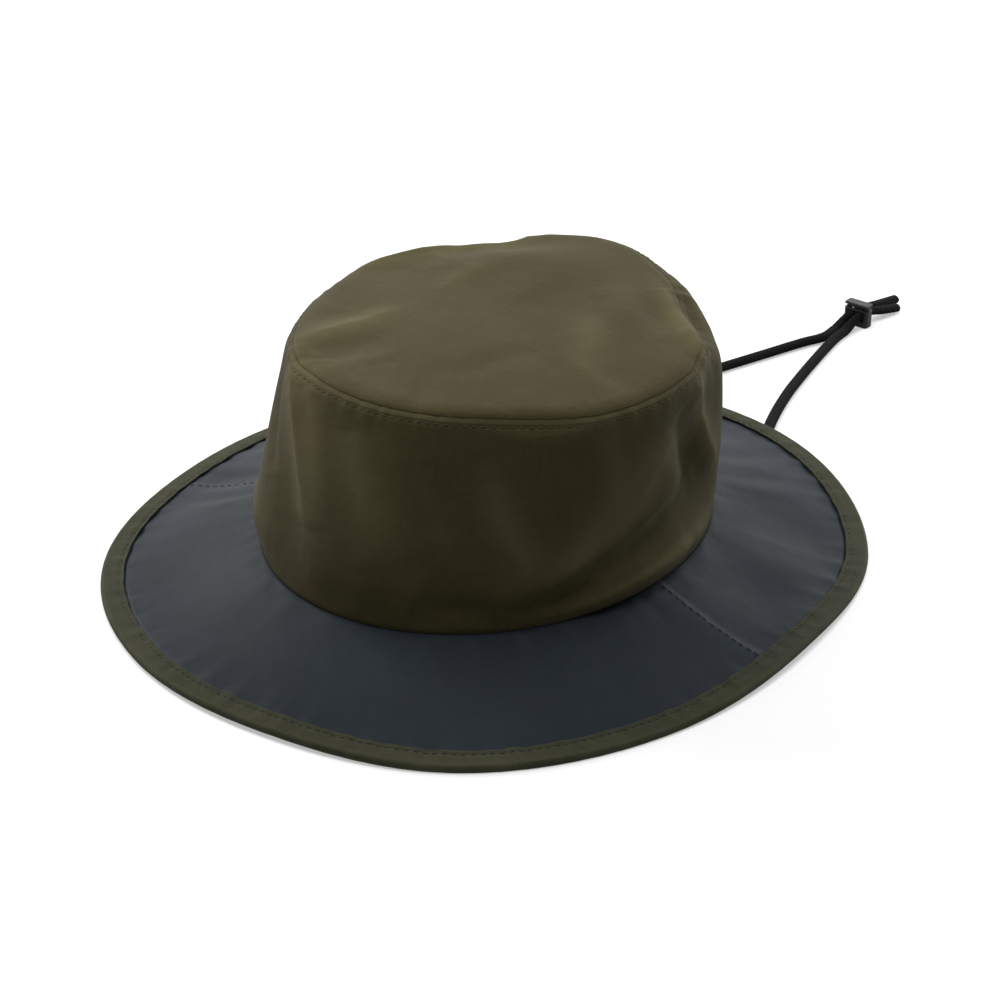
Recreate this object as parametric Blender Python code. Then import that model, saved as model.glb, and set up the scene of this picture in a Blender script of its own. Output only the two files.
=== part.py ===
"""Bush hat lying on a surface: soft two-piece crown, waved brim with a bound edge, chin cord with a spring lock.

Metres, +Z up. The front of the hat is -Y, the wearer's left is +X, and the surface it rests on is z = 0.
Angles go round the hat from the front (0) over the wearer's left (90) to the back (180).
"""
import math

import bmesh
import bpy
import numpy as np

MM = 0.001

# Sizes of the crown
HEAD_HALF_WIDTH = 88.9 * MM        # outside of the crown at the brim, side to side
HEAD_HALF_LENGTH = 107.8 * MM      # outside of the crown at the brim, front to back
SEAT_HEIGHT = 21.9 * MM            # where the crown meets the brim, above the surface
SHOULDER_HALF_WIDTH = 88.0 * MM    # outside of the crown at the fold round its top
SHOULDER_HALF_LENGTH = 90.0 * MM
SHOULDER_HEIGHT = 108.0 * MM
SHOULDER_LEFTWARD = 3.6 * MM       # the soft top leans a little to the wearer's left and to the back
SHOULDER_BACKWARD = 2.2 * MM
CORNER_SIZE = 13.0 * MM            # how far the fold round the top is rounded, down and inward
DOME_RISE = 6.0 * MM               # middle of the tip above the fold
FOLD_DEPTH = 7.0 * MM              # deepest dent or fullest bulge of the crown
CROWN_CLOTH = 1.5 * MM
CROWN_FOOT = 11.0 * MM             # lowest band of the side, straight where it is sewn
SEWING_EDGE = 8.0 * MM             # the tip's edge, turned down inside the side
FOLD_FADE = 0.20                   # folds die away over this share of the line at the brim
FOLD_FADE_TOP = 0.4                # and over this share of it at the middle of the top

# Sizes of the brim and its binding
BRIM_WIDTH = 63.0 * MM
BRIM_CLOTH = 1.8 * MM
BRIM_EDGE_CLOTH = 1.0 * MM         # the brim pressed thin inside the binding
BRIM_SLOPE_POWER = 1.5             # 1 is a straight cone, more is flatter toward the edge
EDGE_RISE = 8.0 * MM               # the highest wave of the brim's edge above the surface
RIPPLE_DEPTH = 2.2 * MM
RIPPLE_FADE = 0.2                  # ripples die away over this share of the brim at the crown
RIPPLE_FADE_EDGE = 16.0 * MM       # and over this much of it beside the binding
EDGE_TAPER = 0.9 * MM              # where the brim thins down beside the binding
BINDING_WIDTH = 9.5 * MM
BINDING_CLOTH = 1.0 * MM
BINDING_SETTLE = 0.45 * MM         # how far the binding is pressed flat where the hat rests on it

# Sizes of the chin cord, its lock and the tabs that hold it
CORD_DIAMETER = 4.6 * MM
CORD_POINT_STEP = 2.2              # spacing of the cord's points, in diameters
TAB_CLOTH = 1.2 * MM
TAB_TAIL = 6.0 * MM                # flat sewn part of a tab on both sides of its loop
TAB_FOOT = 1.2 * MM                # the tab's lower end, above the crown's edge
CORD_IN_TAB = 9.0 * MM             # length of cord that a tab holds
LOCK_WALL = 0.8 * MM
LOCK_TRAVEL = 1.3 * MM             # how far the button can be pressed
LOCK_HEAD = 1.4 * MM               # thickness of the button's head
LOCK_ROUNDING = 1.0 * MM
STEM_WALL = 0.7 * MM               # stem beside and under its slot
STEM_DEPTH = 4.0 * MM              # along the cords

# Clearances
SEAM_GAP = 0.3 * MM                # between pieces that are sewn or threaded together
SEAT_GAP = 0.8 * MM                # between the crown's lower edge and the brim, where the crown's wall leans
SLIDE_GAP = 0.25 * MM              # round the lock's sliding stem
LAY_GAP = 0.1 * MM                 # under a cord that lies on the surface

# Facets
AROUND = 76                        # facets round the hat
CROWN_SAMPLES = 160                # points along the crown's line from the brim to the middle of the top
CURVE_PARTS = 40                   # fine steps between two points of a cord's route

# The fold round the top of the crown, a row every 30 degrees from the front: its half size and height as shares of
# the shoulder's, its rounding as a share of CORNER_SIZE, and how far the seam lies inward along the rounding and
# the top, as a share of CORNER_SIZE.
SHOULDER = (
    # half_size, height, rounding, seam_inward
    (1.008, 0.998, 0.55, 0.45),
    (1.005, 1.004, 0.55, 0.45),
    (1.016, 0.990, 0.60, 0.50),
    (1.006, 1.004, 0.75, 0.70),
    (0.970, 1.010, 1.00, 1.35),
    (0.980, 1.036, 1.00, 1.40),
    (1.012, 1.072, 0.80, 0.80),
    (0.992, 1.040, 0.70, 0.60),
    (0.986, 1.012, 0.75, 0.70),
    (0.958, 1.006, 1.00, 0.95),
    (0.967, 1.000, 0.90, 0.80),
    (1.004, 0.998, 0.65, 0.55),
)

# The brim's edge, a row every 30 degrees from the front: width as a share of BRIM_WIDTH, and the height of its
# underside above the surface as a share of EDGE_RISE. It rests where the rise is 0 and lets the cord out at the back.
BRIM_EDGE = (
    # width, rise
    (0.955, 0.18),
    (1.050, 0.00),
    (0.990, 0.03),
    (0.940, 0.31),
    (1.055, 0.00),
    (1.035, 0.66),
    (0.950, 0.93),
    (1.000, 0.62),
    (1.025, 0.00),
    (0.970, 0.24),
    (1.055, 0.00),
    (1.000, 0.10),
)

# Dents (negative) and fullness (positive) of the crown: angle round the hat, place up the line from the brim (0) over
# the fold (1) to the middle of the top (2), half widths of the two, lean in degrees per step up the line, and depth
# as a share of FOLD_DEPTH.
CROWN_FOLDS = (
    # angle, up, half_angle, half_up, lean, depth
    (-27.0, 0.60, 7.0, 0.42, -10.0, -0.45),     # crease down the front corner on the wearer's right
    (-44.0, 0.50, 13.0, 0.40, 0.0, 0.50),       # full cloth beside that crease
    (-62.0, 0.12, 26.0, 0.20, 0.0, 0.35),       # swelling over the brim
    (5.0, 0.45, 22.0, 0.40, 0.0, 0.30),         # full front
    (62.0, 0.42, 8.0, 0.22, 30.0, -0.55),       # slanting dent on the wearer's left front
    (66.0, 0.14, 24.0, 0.11, 0.0, 0.45),        # roll over the brim below it
    (97.0, 0.62, 6.5, 0.28, 4.0, -0.60),        # upright dent at the wearer's left
    (112.0, 0.60, 8.0, 0.40, 0.0, 0.40),        # strip of full cloth behind it
    (150.0, 0.45, 12.0, 0.35, 8.0, -0.40),      # soft dents at the back
    (196.0, 0.50, 14.0, 0.35, -6.0, -0.30),
    (-115.0, 0.45, 11.0, 0.35, 10.0, -0.45),
    (-88.0, 0.40, 10.0, 0.30, 0.0, 0.25),
    (118.0, 1.25, 15.0, 0.12, 0.0, -0.35),      # hollow outside the ridge on the top
    (122.0, 1.42, 18.0, 0.10, 0.0, 0.30),       # the ridge itself
    (-150.0, 1.18, 20.0, 0.12, 0.0, -0.40),     # dip behind the top's left crest
    (-140.0, 1.42, 24.0, 0.12, 0.0, 0.30),      # crest across the back of the top
    (-50.0, 1.30, 16.0, 0.15, 0.0, -0.25),      # shallow hollow near the front corner
)

# Ripples of the brim: angle, place across its width, half widths of the two, and height as a share of RIPPLE_DEPTH.
BRIM_RIPPLES = (
    # angle, across, half_angle, half_across, height
    (-84.0, 0.55, 6.0, 0.30, -0.80),
    (-98.0, 0.55, 6.0, 0.30, 0.90),
    (-112.0, 0.50, 6.0, 0.28, -0.70),
    (-68.0, 0.50, 8.0, 0.28, 0.60),
    (-40.0, 0.45, 14.0, 0.28, -0.60),
    (96.0, 0.50, 6.0, 0.28, -0.70),
    (108.0, 0.50, 5.5, 0.28, 0.80),
    (121.0, 0.55, 6.0, 0.28, -0.60),
    (136.0, 0.50, 7.0, 0.28, 0.70),
    (40.0, 0.45, 14.0, 0.26, 0.45),
    (172.0, 0.50, 9.0, 0.28, -0.50),
)

# The cord's route over the surface as seen from above, from inside the crown toward the lock, in metres
CORD_ROUTES = {
    "chin_cord_right": (
        # x, y
        (-0.0700, 0.0560),
        (-0.0560, 0.0940),
        (-0.0365, 0.1400),
        (-0.0120, 0.1950),
        (0.0087, 0.2427),
        (0.0196, 0.2680),
        (0.0256, 0.2800),
    ),
    "chin_cord_left": (
        # x, y
        (0.0750, 0.0560),
        (0.0690, 0.0950),
        (0.0590, 0.1370),
        (0.0463, 0.1754),
        (0.0392, 0.2075),
        (0.0356, 0.2330),
        (0.0325, 0.2620),
        (0.0311, 0.2800),
    ),
}
LOCK_PLACE = (0.0312, 0.3075)       # middle of the lock on the surface
LOCK_TURN = 8.0                     # the cords' direction there, from straight back toward the wearer's left
LOCK_APPROACH = 13.0 * MM           # where the cords leave the surface to rise into the lock
# Free ends past the lock: how far behind its middle, and how far aside toward the wearer's left
TAILS = {
    "chin_cord_right": (36.0 * MM, 0.5 * MM),
    "chin_cord_left": (27.0 * MM, 7.0 * MM),
}

OLIVE = (0.085, 0.078, 0.045, 1.0)
NAVY = (0.036, 0.044, 0.060, 1.0)
BINDING_OLIVE = (0.070, 0.068, 0.040, 1.0)
CHARCOAL = (0.020, 0.021, 0.020, 1.0)
BLACK = (0.010, 0.010, 0.011, 1.0)


def smooth_step(value):
    """0 below 0, 1 above 1, and an even rise between."""
    value = np.clip(value, 0.0, 1.0)
    return value * value * (3.0 - 2.0 * value)


def turn_between(angles, other):
    """Degrees from one direction round the hat to another, between -180 and 180."""
    return (angles - other + 180.0) % 360.0 - 180.0


def bump(distance, half_width):
    """1 in the middle, one half at the half width, falling to nothing."""
    return np.exp2(-(distance / half_width) ** 2)


def column_round(rows, column, angles):
    """A table's column at any angle, drawn smoothly through its evenly spaced rows."""
    values = np.array([row[column] for row in rows])
    place = np.asarray(angles) / 360.0 * len(values)
    row = np.floor(place).astype(int)
    t = place - row
    before, first, second, after = (values[(row + step) % len(values)] for step in (-1, 0, 1, 2))
    return 0.5 * (2.0 * first + (second - before) * t
                  + (2.0 * before - 5.0 * first + 4.0 * second - after) * t ** 2
                  + (3.0 * first - before - 3.0 * second + after) * t ** 3)


def unit(vectors):
    return vectors / np.maximum(np.linalg.norm(vectors, axis=-1, keepdims=True), 1e-12)


ANGLES = np.arange(AROUND) * 360.0 / AROUND
SINES = np.sin(np.radians(ANGLES))
COSINES = np.cos(np.radians(ANGLES))


def surface_normals(points):
    """Outward normals of a grid of points: angles round the hat by places up the crown."""
    around = np.roll(points, -1, axis=0) - np.roll(points, 1, axis=0)
    upward = np.gradient(points, axis=1)
    normals = unit(np.cross(around, upward))
    normals[:, -1] = (0.0, 0.0, 1.0)
    return normals


def crown_grid():
    """The crown's outer surface, and how far up its line each angle's rounding starts."""
    size, height, rounding = (column_round(SHOULDER, column, ANGLES) for column in range(3))
    foot = np.stack([HEAD_HALF_WIDTH * SINES, -HEAD_HALF_LENGTH * COSINES, np.full(AROUND, SEAT_HEIGHT)], axis=-1)
    fold = np.stack([SHOULDER_LEFTWARD + size * SHOULDER_HALF_WIDTH * SINES,
                     SHOULDER_BACKWARD - size * SHOULDER_HALF_LENGTH * COSINES,
                     height * SHOULDER_HEIGHT], axis=-1)
    middle = np.array([SHOULDER_LEFTWARD, SHOULDER_BACKWARD, SHOULDER_HEIGHT])
    radius = rounding * CORNER_SIZE
    corner_start = 1.0 - radius / np.linalg.norm(fold - foot, axis=-1)
    corner_end = 1.0 + radius / np.linalg.norm(middle - fold, axis=-1)

    def wall(up):
        return foot + (fold - foot) * up[:, None]

    def top(up):
        out = 2.0 - up
        line = fold + (middle - fold) * (1.0 - out)[:, None]
        line[:, 2] += DOME_RISE * (1.0 - out * out)
        return line

    ups = np.linspace(0.0, 2.0, CROWN_SAMPLES)
    points = np.empty((AROUND, CROWN_SAMPLES, 3))
    for place, value in enumerate(ups):
        up = np.full(AROUND, value)
        t = np.clip((up - corner_start) / (corner_end - corner_start), 0.0, 1.0)[:, None]
        corner = ((1.0 - t) ** 2 * wall(corner_start) + 2.0 * t * (1.0 - t) * fold + t * t * top(corner_end))
        points[:, place] = np.where((up < corner_start)[:, None], wall(up),
                                    np.where((up > corner_end)[:, None], top(up), corner))
    normals = surface_normals(points)
    depth = np.zeros((AROUND, CROWN_SAMPLES))
    for angle, place, half_angle, half_up, lean, share in CROWN_FOLDS:
        sideways = turn_between(ANGLES[:, None] - lean * (ups - place), angle)
        depth += share * bump(sideways, half_angle) * bump(ups - place, half_up)
    depth *= smooth_step(ups / FOLD_FADE) * smooth_step((2.0 - ups) / FOLD_FADE_TOP)
    points = points + normals * (depth * FOLD_DEPTH)[..., None]
    steps = np.linalg.norm(np.diff(points, axis=1), axis=-1)
    lengths = np.concatenate([np.zeros((AROUND, 1)), np.cumsum(steps, axis=1)], axis=1)
    start = np.array([np.interp(corner_start[i], ups, lengths[i]) for i in range(AROUND)])
    return points, surface_normals(points), lengths, start


CROWN, CROWN_NORMALS, CROWN_LENGTHS, ROUNDING_START = crown_grid()
SEAM_LENGTHS = ROUNDING_START + column_round(SHOULDER, 3, ANGLES) * CORNER_SIZE
FULL_LENGTHS = CROWN_LENGTHS[:, -1]


def on_crown(length, inward):
    """One ring of points, a length up the crown's line from the brim and a distance in from its outside."""
    length = np.broadcast_to(length, (AROUND,))
    ring = np.empty((AROUND, 3))
    for i in range(AROUND):
        for axis in range(3):
            ring[i, axis] = (np.interp(length[i], CROWN_LENGTHS[i], CROWN[i, :, axis])
                             - inward * np.interp(length[i], CROWN_LENGTHS[i], CROWN_NORMALS[i, :, axis]))
    return ring


def on_foot(length, inward):
    """As on_crown, along the straight lowest band of the side."""
    foot, top = on_crown(0.0, inward), on_crown(CROWN_FOOT, inward)
    return foot + (top - foot) * (length / CROWN_FOOT)


def at_angle(ring, angle):
    """The point of a ring at an angle that may lie between two of its points."""
    place = (angle % 360.0) / 360.0 * AROUND
    first = int(place)
    return ring[first % AROUND] + (ring[(first + 1) % AROUND] - ring[first % AROUND]) * (place - first)


def plain_material(name, colour, roughness):
    material = bpy.data.materials.new(name)
    material.use_nodes = True
    shader = material.node_tree.nodes["Principled BSDF"]
    shader.inputs["Base Color"].default_value = colour
    shader.inputs["Roughness"].default_value = roughness
    shader.inputs["Metallic"].default_value = 0.0
    material.diffuse_color = colour
    return material


def new_object(name, data, material=None):
    item = bpy.data.objects.new(name, data)
    bpy.context.scene.collection.objects.link(item)
    if material is not None:
        data.materials.append(material)
    return item


def finish_mesh(name, shape, material, sharp_from):
    """Close a bmesh into an object with its faces outward and its round parts smooth."""
    bmesh.ops.recalc_face_normals(shape, faces=shape.faces)
    mesh = bpy.data.meshes.new(name)
    shape.to_mesh(mesh)
    shape.free()
    mesh.shade_smooth()
    mesh.set_sharp_from_angle(angle=math.radians(sharp_from))
    return new_object(name, mesh, material)


def bridge(shape, lower, upper):
    """Faces between two closed rings of the same count, or from a ring to one point."""
    count = len(lower)
    for i in range(count):
        after = (i + 1) % count
        if len(upper) == 1:
            shape.faces.new((lower[i], lower[after], upper[0]))
        else:
            shape.faces.new((lower[i], lower[after], upper[after], upper[i]))


def ring_solid(name, rings, material, first_point=None, last_point=None, sharp_from=50.0):
    """A solid through rings round the hat: a closed tube of rings, or a cap between two middle points."""
    shape = bmesh.new()
    loops = [[shape.verts.new(point) for point in ring] for ring in rings]
    for lower, upper in zip(loops, loops[1:]):
        bridge(shape, lower, upper)
    if first_point is None:
        bridge(shape, loops[-1], loops[0])
    else:
        bridge(shape, loops[0], [shape.verts.new(first_point)])
        bridge(shape, loops[-1], [shape.verts.new(last_point)])
    return finish_mesh(name, shape, material, sharp_from)


def build_crown(cloth):
    """The two cloth pieces of the crown, meeting at the seam round its top."""
    side_rows = (0.0, 0.18, 0.38, 0.58, 0.79)      # shares of the line from the straight foot to the hem
    hem_rows = (SEAM_LENGTHS - SEWING_EDGE, SEAM_LENGTHS - SEWING_EDGE / 2.0)
    run = hem_rows[0] - CROWN_FOOT
    heights = [0.0] + [CROWN_FOOT + run * share for share in side_rows] + list(hem_rows)
    heights.append(SEAM_LENGTHS - SEAM_GAP / 2.0)
    outside = [on_crown(height, 0.0) for height in heights]
    inside = [on_crown(height, CROWN_CLOTH) for height in reversed(heights)]
    ring_solid("crown_side", outside + inside, cloth)

    tip_rows = (0.0, 0.05, 0.13, 0.26, 0.44, 0.64, 0.84)                # shares of the line from seam to middle
    start = SEAM_LENGTHS + SEAM_GAP / 2.0
    run = FULL_LENGTHS - start
    edge_out = CROWN_CLOTH + SEAM_GAP
    edge_in = edge_out + CROWN_CLOTH
    hem = [on_crown(height, edge_out) for height in (start, *reversed(hem_rows))]
    hem += [on_crown(height, edge_in) for height in (*hem_rows, start)]
    outer = [on_crown(start + run * share, 0.0) for share in reversed(tip_rows)]
    inner = [on_crown(start + run * share, CROWN_CLOTH) for share in tip_rows[2::2]]
    middle = CROWN[0, -1]
    ring_solid("crown_tip", outer + hem + inner, cloth, first_point=middle,
               last_point=middle - np.array([0.0, 0.0, CROWN_CLOTH]))


FOOT_RING = on_crown(0.0, 0.0)
EDGE_WIDTHS = column_round(BRIM_EDGE, 0, ANGLES) * BRIM_WIDTH
EDGE_RING = np.stack([(HEAD_HALF_WIDTH + EDGE_WIDTHS) * SINES, -(HEAD_HALF_LENGTH + EDGE_WIDTHS) * COSINES], axis=-1)
EDGE_RUNS = np.linalg.norm(EDGE_RING - FOOT_RING[:, :2], axis=-1)
BINDING_HALF = BRIM_EDGE_CLOTH / 2.0 + SEAM_GAP + BINDING_CLOTH
EDGE_HEIGHTS = BINDING_HALF - BINDING_SETTLE + np.maximum(column_round(BRIM_EDGE, 1, ANGLES), 0.0) * EDGE_RISE
SEAT_MIDDLE = SEAT_HEIGHT - SEAT_GAP - BRIM_CLOTH / 2.0


def on_brim(out, height):
    """One ring of the brim, a distance out from the crown's foot and a height above the middle of its cloth."""
    out = np.broadcast_to(out, (AROUND,))
    across = np.clip(out / EDGE_RUNS, 0.0, 1.0)
    plan = FOOT_RING[:, :2] + (EDGE_RING - FOOT_RING[:, :2]) * (out / EDGE_RUNS)[:, None]
    middle = EDGE_HEIGHTS + (SEAT_MIDDLE - EDGE_HEIGHTS) * (1.0 - across) ** BRIM_SLOPE_POWER
    for angle, place, half_angle, half_across, share in BRIM_RIPPLES:
        wave = bump(turn_between(ANGLES, angle), half_angle) * bump(across - place, half_across)
        fade = smooth_step(across / RIPPLE_FADE) * smooth_step((EDGE_RUNS - out - BINDING_WIDTH) / RIPPLE_FADE_EDGE)
        middle = middle + share * RIPPLE_DEPTH * wave * fade
    return np.concatenate([plan, (middle + height)[:, None]], axis=1)


def build_brim(cloth):
    """The brim: a sloping sheet from under the crown's wall to a thin edge inside the binding."""
    thin_start = EDGE_RUNS - BINDING_WIDTH - SEAM_GAP
    thick_end = thin_start - EDGE_TAPER
    edge = EDGE_RUNS - BINDING_CLOTH - SEAM_GAP
    rows = [(-CROWN_CLOTH, BRIM_CLOTH)]
    rows += [(thick_end * share, BRIM_CLOTH) for share in (0.0, 0.2, 0.4, 0.6, 0.8, 1.0)]
    rows += [(thin_start, BRIM_EDGE_CLOTH), (edge, BRIM_EDGE_CLOTH)]
    upper = [on_brim(out, thickness / 2.0) for out, thickness in rows]
    lower = [on_brim(out, -thickness / 2.0) for out, thickness in reversed(rows)]
    ring_solid("brim", upper + lower, cloth)


def build_binding(cloth):
    """The tape folded round the brim's edge, pressed flat where it lies on the surface."""
    inner = BRIM_EDGE_CLOTH / 2.0 + SEAM_GAP
    outer = BINDING_HALF
    fold = BINDING_CLOTH
    # how far in from the edge, and height from the middle of the brim's cloth
    section = ((BINDING_WIDTH, outer), (BINDING_WIDTH / 2.0, outer), (fold, outer), (0.0, inner / 2.0),
               (0.0, -inner / 2.0), (fold, -outer), (BINDING_WIDTH / 2.0, -outer), (BINDING_WIDTH, -outer),
               (BINDING_WIDTH, -inner), (fold, -inner), (fold, inner), (BINDING_WIDTH, inner))
    rings = []
    for inward, height in section:
        ring = on_brim(EDGE_RUNS - inward, height)
        ring[:, 2] = np.maximum(ring[:, 2], 0.0)
        rings.append(ring)
    ring_solid("brim_binding", rings, cloth, sharp_from=40.0)


CORD_RADIUS = CORD_DIAMETER / 2.0
TAB_SEAT = CROWN_CLOTH + SEAM_GAP              # in from the crown's outside to the tab's sewn face
CORD_SEAT = TAB_SEAT + SEAM_GAP + CORD_RADIUS  # and to the middle of the cord that it holds
TAB_ANGLES = {"right": -111.0, "left": 109.0}


def build_tab(name, angle, cloth):
    """A cloth tab inside the crown: a loop round the cord's end with a flat sewn tail on both sides."""
    clear = CORD_RADIUS + SEAM_GAP
    outer = clear + TAB_CLOTH
    tail = outer + TAB_TAIL
    steps = np.radians(np.linspace(0.0, 180.0, 7))
    # along the crown's wall, and inward from the tab's sewn face
    hollow = [(clear * math.cos(step), clear + clear * math.sin(step)) for step in steps]
    back = [(outer * math.cos(step), clear + outer * math.sin(step)) for step in reversed(steps)]
    half_tail = (tail + clear) / 2.0
    section = ([(tail, 0.0), (half_tail, 0.0), (clear, 0.0)] + hollow
               + [(-clear, 0.0), (-half_tail, 0.0), (-tail, 0.0), (-tail, TAB_CLOTH), (-outer, TAB_CLOTH)] + back
               + [(outer, TAB_CLOTH), (tail, TAB_CLOTH)])
    shape = bmesh.new()
    loops = []
    for length in (TAB_FOOT, TAB_FOOT + CORD_IN_TAB):
        seat, further = on_foot(length, TAB_SEAT), on_foot(length, TAB_SEAT + MM)
        loop = []
        for along, inward in section:
            here = angle + math.degrees(along / np.linalg.norm(at_angle(seat, angle)[:2]))
            point = at_angle(seat, here)
            direction = unit(at_angle(further, angle) - at_angle(seat, angle))
            loop.append(shape.verts.new(point + direction * inward))
        loops.append(loop)
    bridge(shape, loops[0], loops[1])
    for loop in loops:
        shape.faces.new(loop)
    finish_mesh(name, shape, cloth, 35.0)


# The lock, upward from the surface it stands on
CORD_PITCH = CORD_DIAMETER + SEAM_GAP
SLOT_WIDTH = CORD_PITCH + CORD_DIAMETER + 2.0 * SEAM_GAP
STEM_FOOT = LOCK_WALL + SLIDE_GAP + LOCK_TRAVEL
CORD_IN_LOCK = STEM_FOOT + STEM_WALL + SEAM_GAP + CORD_RADIUS
SLOT_BOTTOM = CORD_IN_LOCK - CORD_RADIUS - SEAM_GAP
SLOT_TOP = CORD_IN_LOCK + CORD_RADIUS + SEAM_GAP
BODY_TOP = SLOT_TOP + LOCK_WALL
HEAD_FOOT = BODY_TOP + SLIDE_GAP + LOCK_TRAVEL
STEM_WIDTH = SLOT_WIDTH + 2.0 * STEM_WALL
BORE_WIDTH = STEM_WIDTH + 2.0 * SLIDE_GAP
BORE_DEPTH = STEM_DEPTH + 2.0 * SLIDE_GAP
BODY_WIDTH = BORE_WIDTH + 2.0 * LOCK_WALL
BODY_DEPTH = BORE_DEPTH + 2.0 * LOCK_WALL


def rounded_outline(width, depth, radius, height, corner_steps=4):
    """A rectangle with round corners, seen from above."""
    points = []
    for quarter in range(4):
        side = 1 if quarter in (0, 3) else -1
        back = 1 if quarter in (0, 1) else -1
        for step in range(corner_steps + 1):
            turn = math.radians(90.0 * (quarter + step / corner_steps))
            points.append((side * (width / 2.0 - radius) + radius * math.cos(turn),
                           back * (depth / 2.0 - radius) + radius * math.sin(turn), height))
    return points


def rounded_block(name, levels, radius, material=None):
    """A block through rounded outlines: rows of height, width and depth from its foot to its top."""
    shape = bmesh.new()
    loops = [[shape.verts.new(point) for point in rounded_outline(width, depth, radius, height)]
             for height, width, depth in levels]
    for lower, upper in zip(loops, loops[1:]):
        bridge(shape, lower, upper)
    shape.faces.new(loops[0])
    shape.faces.new(loops[-1])
    return finish_mesh(name, shape, material, 35.0) if material else finish_cutter(name, shape)


def finish_cutter(name, shape):
    bmesh.ops.recalc_face_normals(shape, faces=shape.faces)
    mesh = bpy.data.meshes.new(name)
    shape.to_mesh(mesh)
    shape.free()
    cutter = new_object(name, mesh)
    cutter.hide_render = True
    cutter.display_type = "WIRE"
    return cutter


def cut(item, cutter):
    change = item.modifiers.new("cut_" + cutter.name, "BOOLEAN")
    change.operation = "DIFFERENCE"
    change.solver = "EXACT"
    change.object = cutter


def build_lock(plastic):
    """The lock's body, open at the top and crossed by the cords, and the button whose slotted stem slides in it."""
    place = new_object("lock_place", None)
    place.location = (LOCK_PLACE[0], LOCK_PLACE[1], 0.0)
    place.rotation_euler = (0.0, 0.0, -math.radians(LOCK_TURN))
    chamfer = LOCK_WALL / 2.0
    body = rounded_block("cord_lock_body", (
        (0.0, BODY_WIDTH - 2.0 * chamfer, BODY_DEPTH - 2.0 * chamfer), (chamfer, BODY_WIDTH, BODY_DEPTH),
        (BODY_TOP - chamfer, BODY_WIDTH, BODY_DEPTH), (BODY_TOP, BODY_WIDTH - chamfer, BODY_DEPTH - chamfer),
    ), LOCK_ROUNDING + LOCK_WALL, plastic)
    bore = rounded_block("lock_bore_cutter", ((LOCK_WALL, BORE_WIDTH, BORE_DEPTH),
                                              (BODY_TOP + LOCK_WALL, BORE_WIDTH, BORE_DEPTH)), LOCK_ROUNDING)
    # both slots run along the cords, so their outlines are drawn flat and turned upright
    slots = {}
    for owner, top in (("body", SLOT_TOP), ("stem", SLOT_TOP + LOCK_TRAVEL)):
        half = BODY_DEPTH
        slot = rounded_block("lock_" + owner + "_slot_cutter", ((-half, SLOT_WIDTH, top - SLOT_BOTTOM),
                                                               (half, SLOT_WIDTH, top - SLOT_BOTTOM)), LOCK_ROUNDING)
        slot.rotation_euler = (math.radians(90.0), 0.0, 0.0)
        slot.location = (0.0, 0.0, (top + SLOT_BOTTOM) / 2.0)
        slots[owner] = slot
    edge = LOCK_HEAD / 4.0
    button = rounded_block("cord_lock_button", (
        (STEM_FOOT, STEM_WIDTH, STEM_DEPTH), (HEAD_FOOT, STEM_WIDTH, STEM_DEPTH),
        (HEAD_FOOT + edge / 2.0, BODY_WIDTH - chamfer, BODY_DEPTH - chamfer),
        (HEAD_FOOT + LOCK_HEAD - edge, BODY_WIDTH - chamfer, BODY_DEPTH - chamfer),
        (HEAD_FOOT + LOCK_HEAD, BODY_WIDTH - chamfer - 2.0 * edge, BODY_DEPTH - chamfer - 2.0 * edge),
    ), LOCK_ROUNDING, plastic.copy())
    for piece in (body, button, bore, slots["body"], slots["stem"]):
        piece.parent = place
    cut(body, bore)
    cut(body, slots["body"])
    cut(button, slots["stem"])


def in_lock(behind, aside, height):
    """A point near the lock: behind it along the cords, aside toward the wearer's left, and above the surface."""
    turn = math.radians(LOCK_TURN)
    return np.array([LOCK_PLACE[0] + behind * math.sin(turn) + aside * math.cos(turn),
                     LOCK_PLACE[1] + behind * math.cos(turn) - aside * math.sin(turn), height])


def cord_route(name, side):
    """The points that a cord's smooth curve runs through, and which of them are ends of its straight stretches."""
    lie = CORD_RADIUS + LAY_GAP
    angle = TAB_ANGLES[side]
    hand = -1.0 if side == "right" else 1.0
    held = [at_angle(on_foot(length, CORD_SEAT), angle)
            for length in (TAB_FOOT + CORD_IN_TAB + TAB_CLOTH, TAB_FOOT - TAB_CLOTH)]
    floor = [np.array([x, y, lie]) for x, y in CORD_ROUTES[name]]
    aside = hand * CORD_PITCH / 2.0
    reach = BODY_DEPTH / 2.0
    clear = reach + CORD_RADIUS
    through = [in_lock(-reach - LOCK_APPROACH, aside, lie + LAY_GAP)]
    through += [in_lock(-clear, aside, CORD_IN_LOCK), in_lock(clear, aside, CORD_IN_LOCK)]
    behind, end_aside = TAILS[name]
    tail = [in_lock((clear + behind) / 2.0, (aside + end_aside) / 2.0, (CORD_IN_LOCK + lie) / 2.0),
            in_lock(behind, end_aside, lie)]
    route = held + floor + through + tail
    entry = len(held) + len(floor) + 1
    return route, (0, 1, entry, entry + 1, len(route) - 1)


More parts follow.
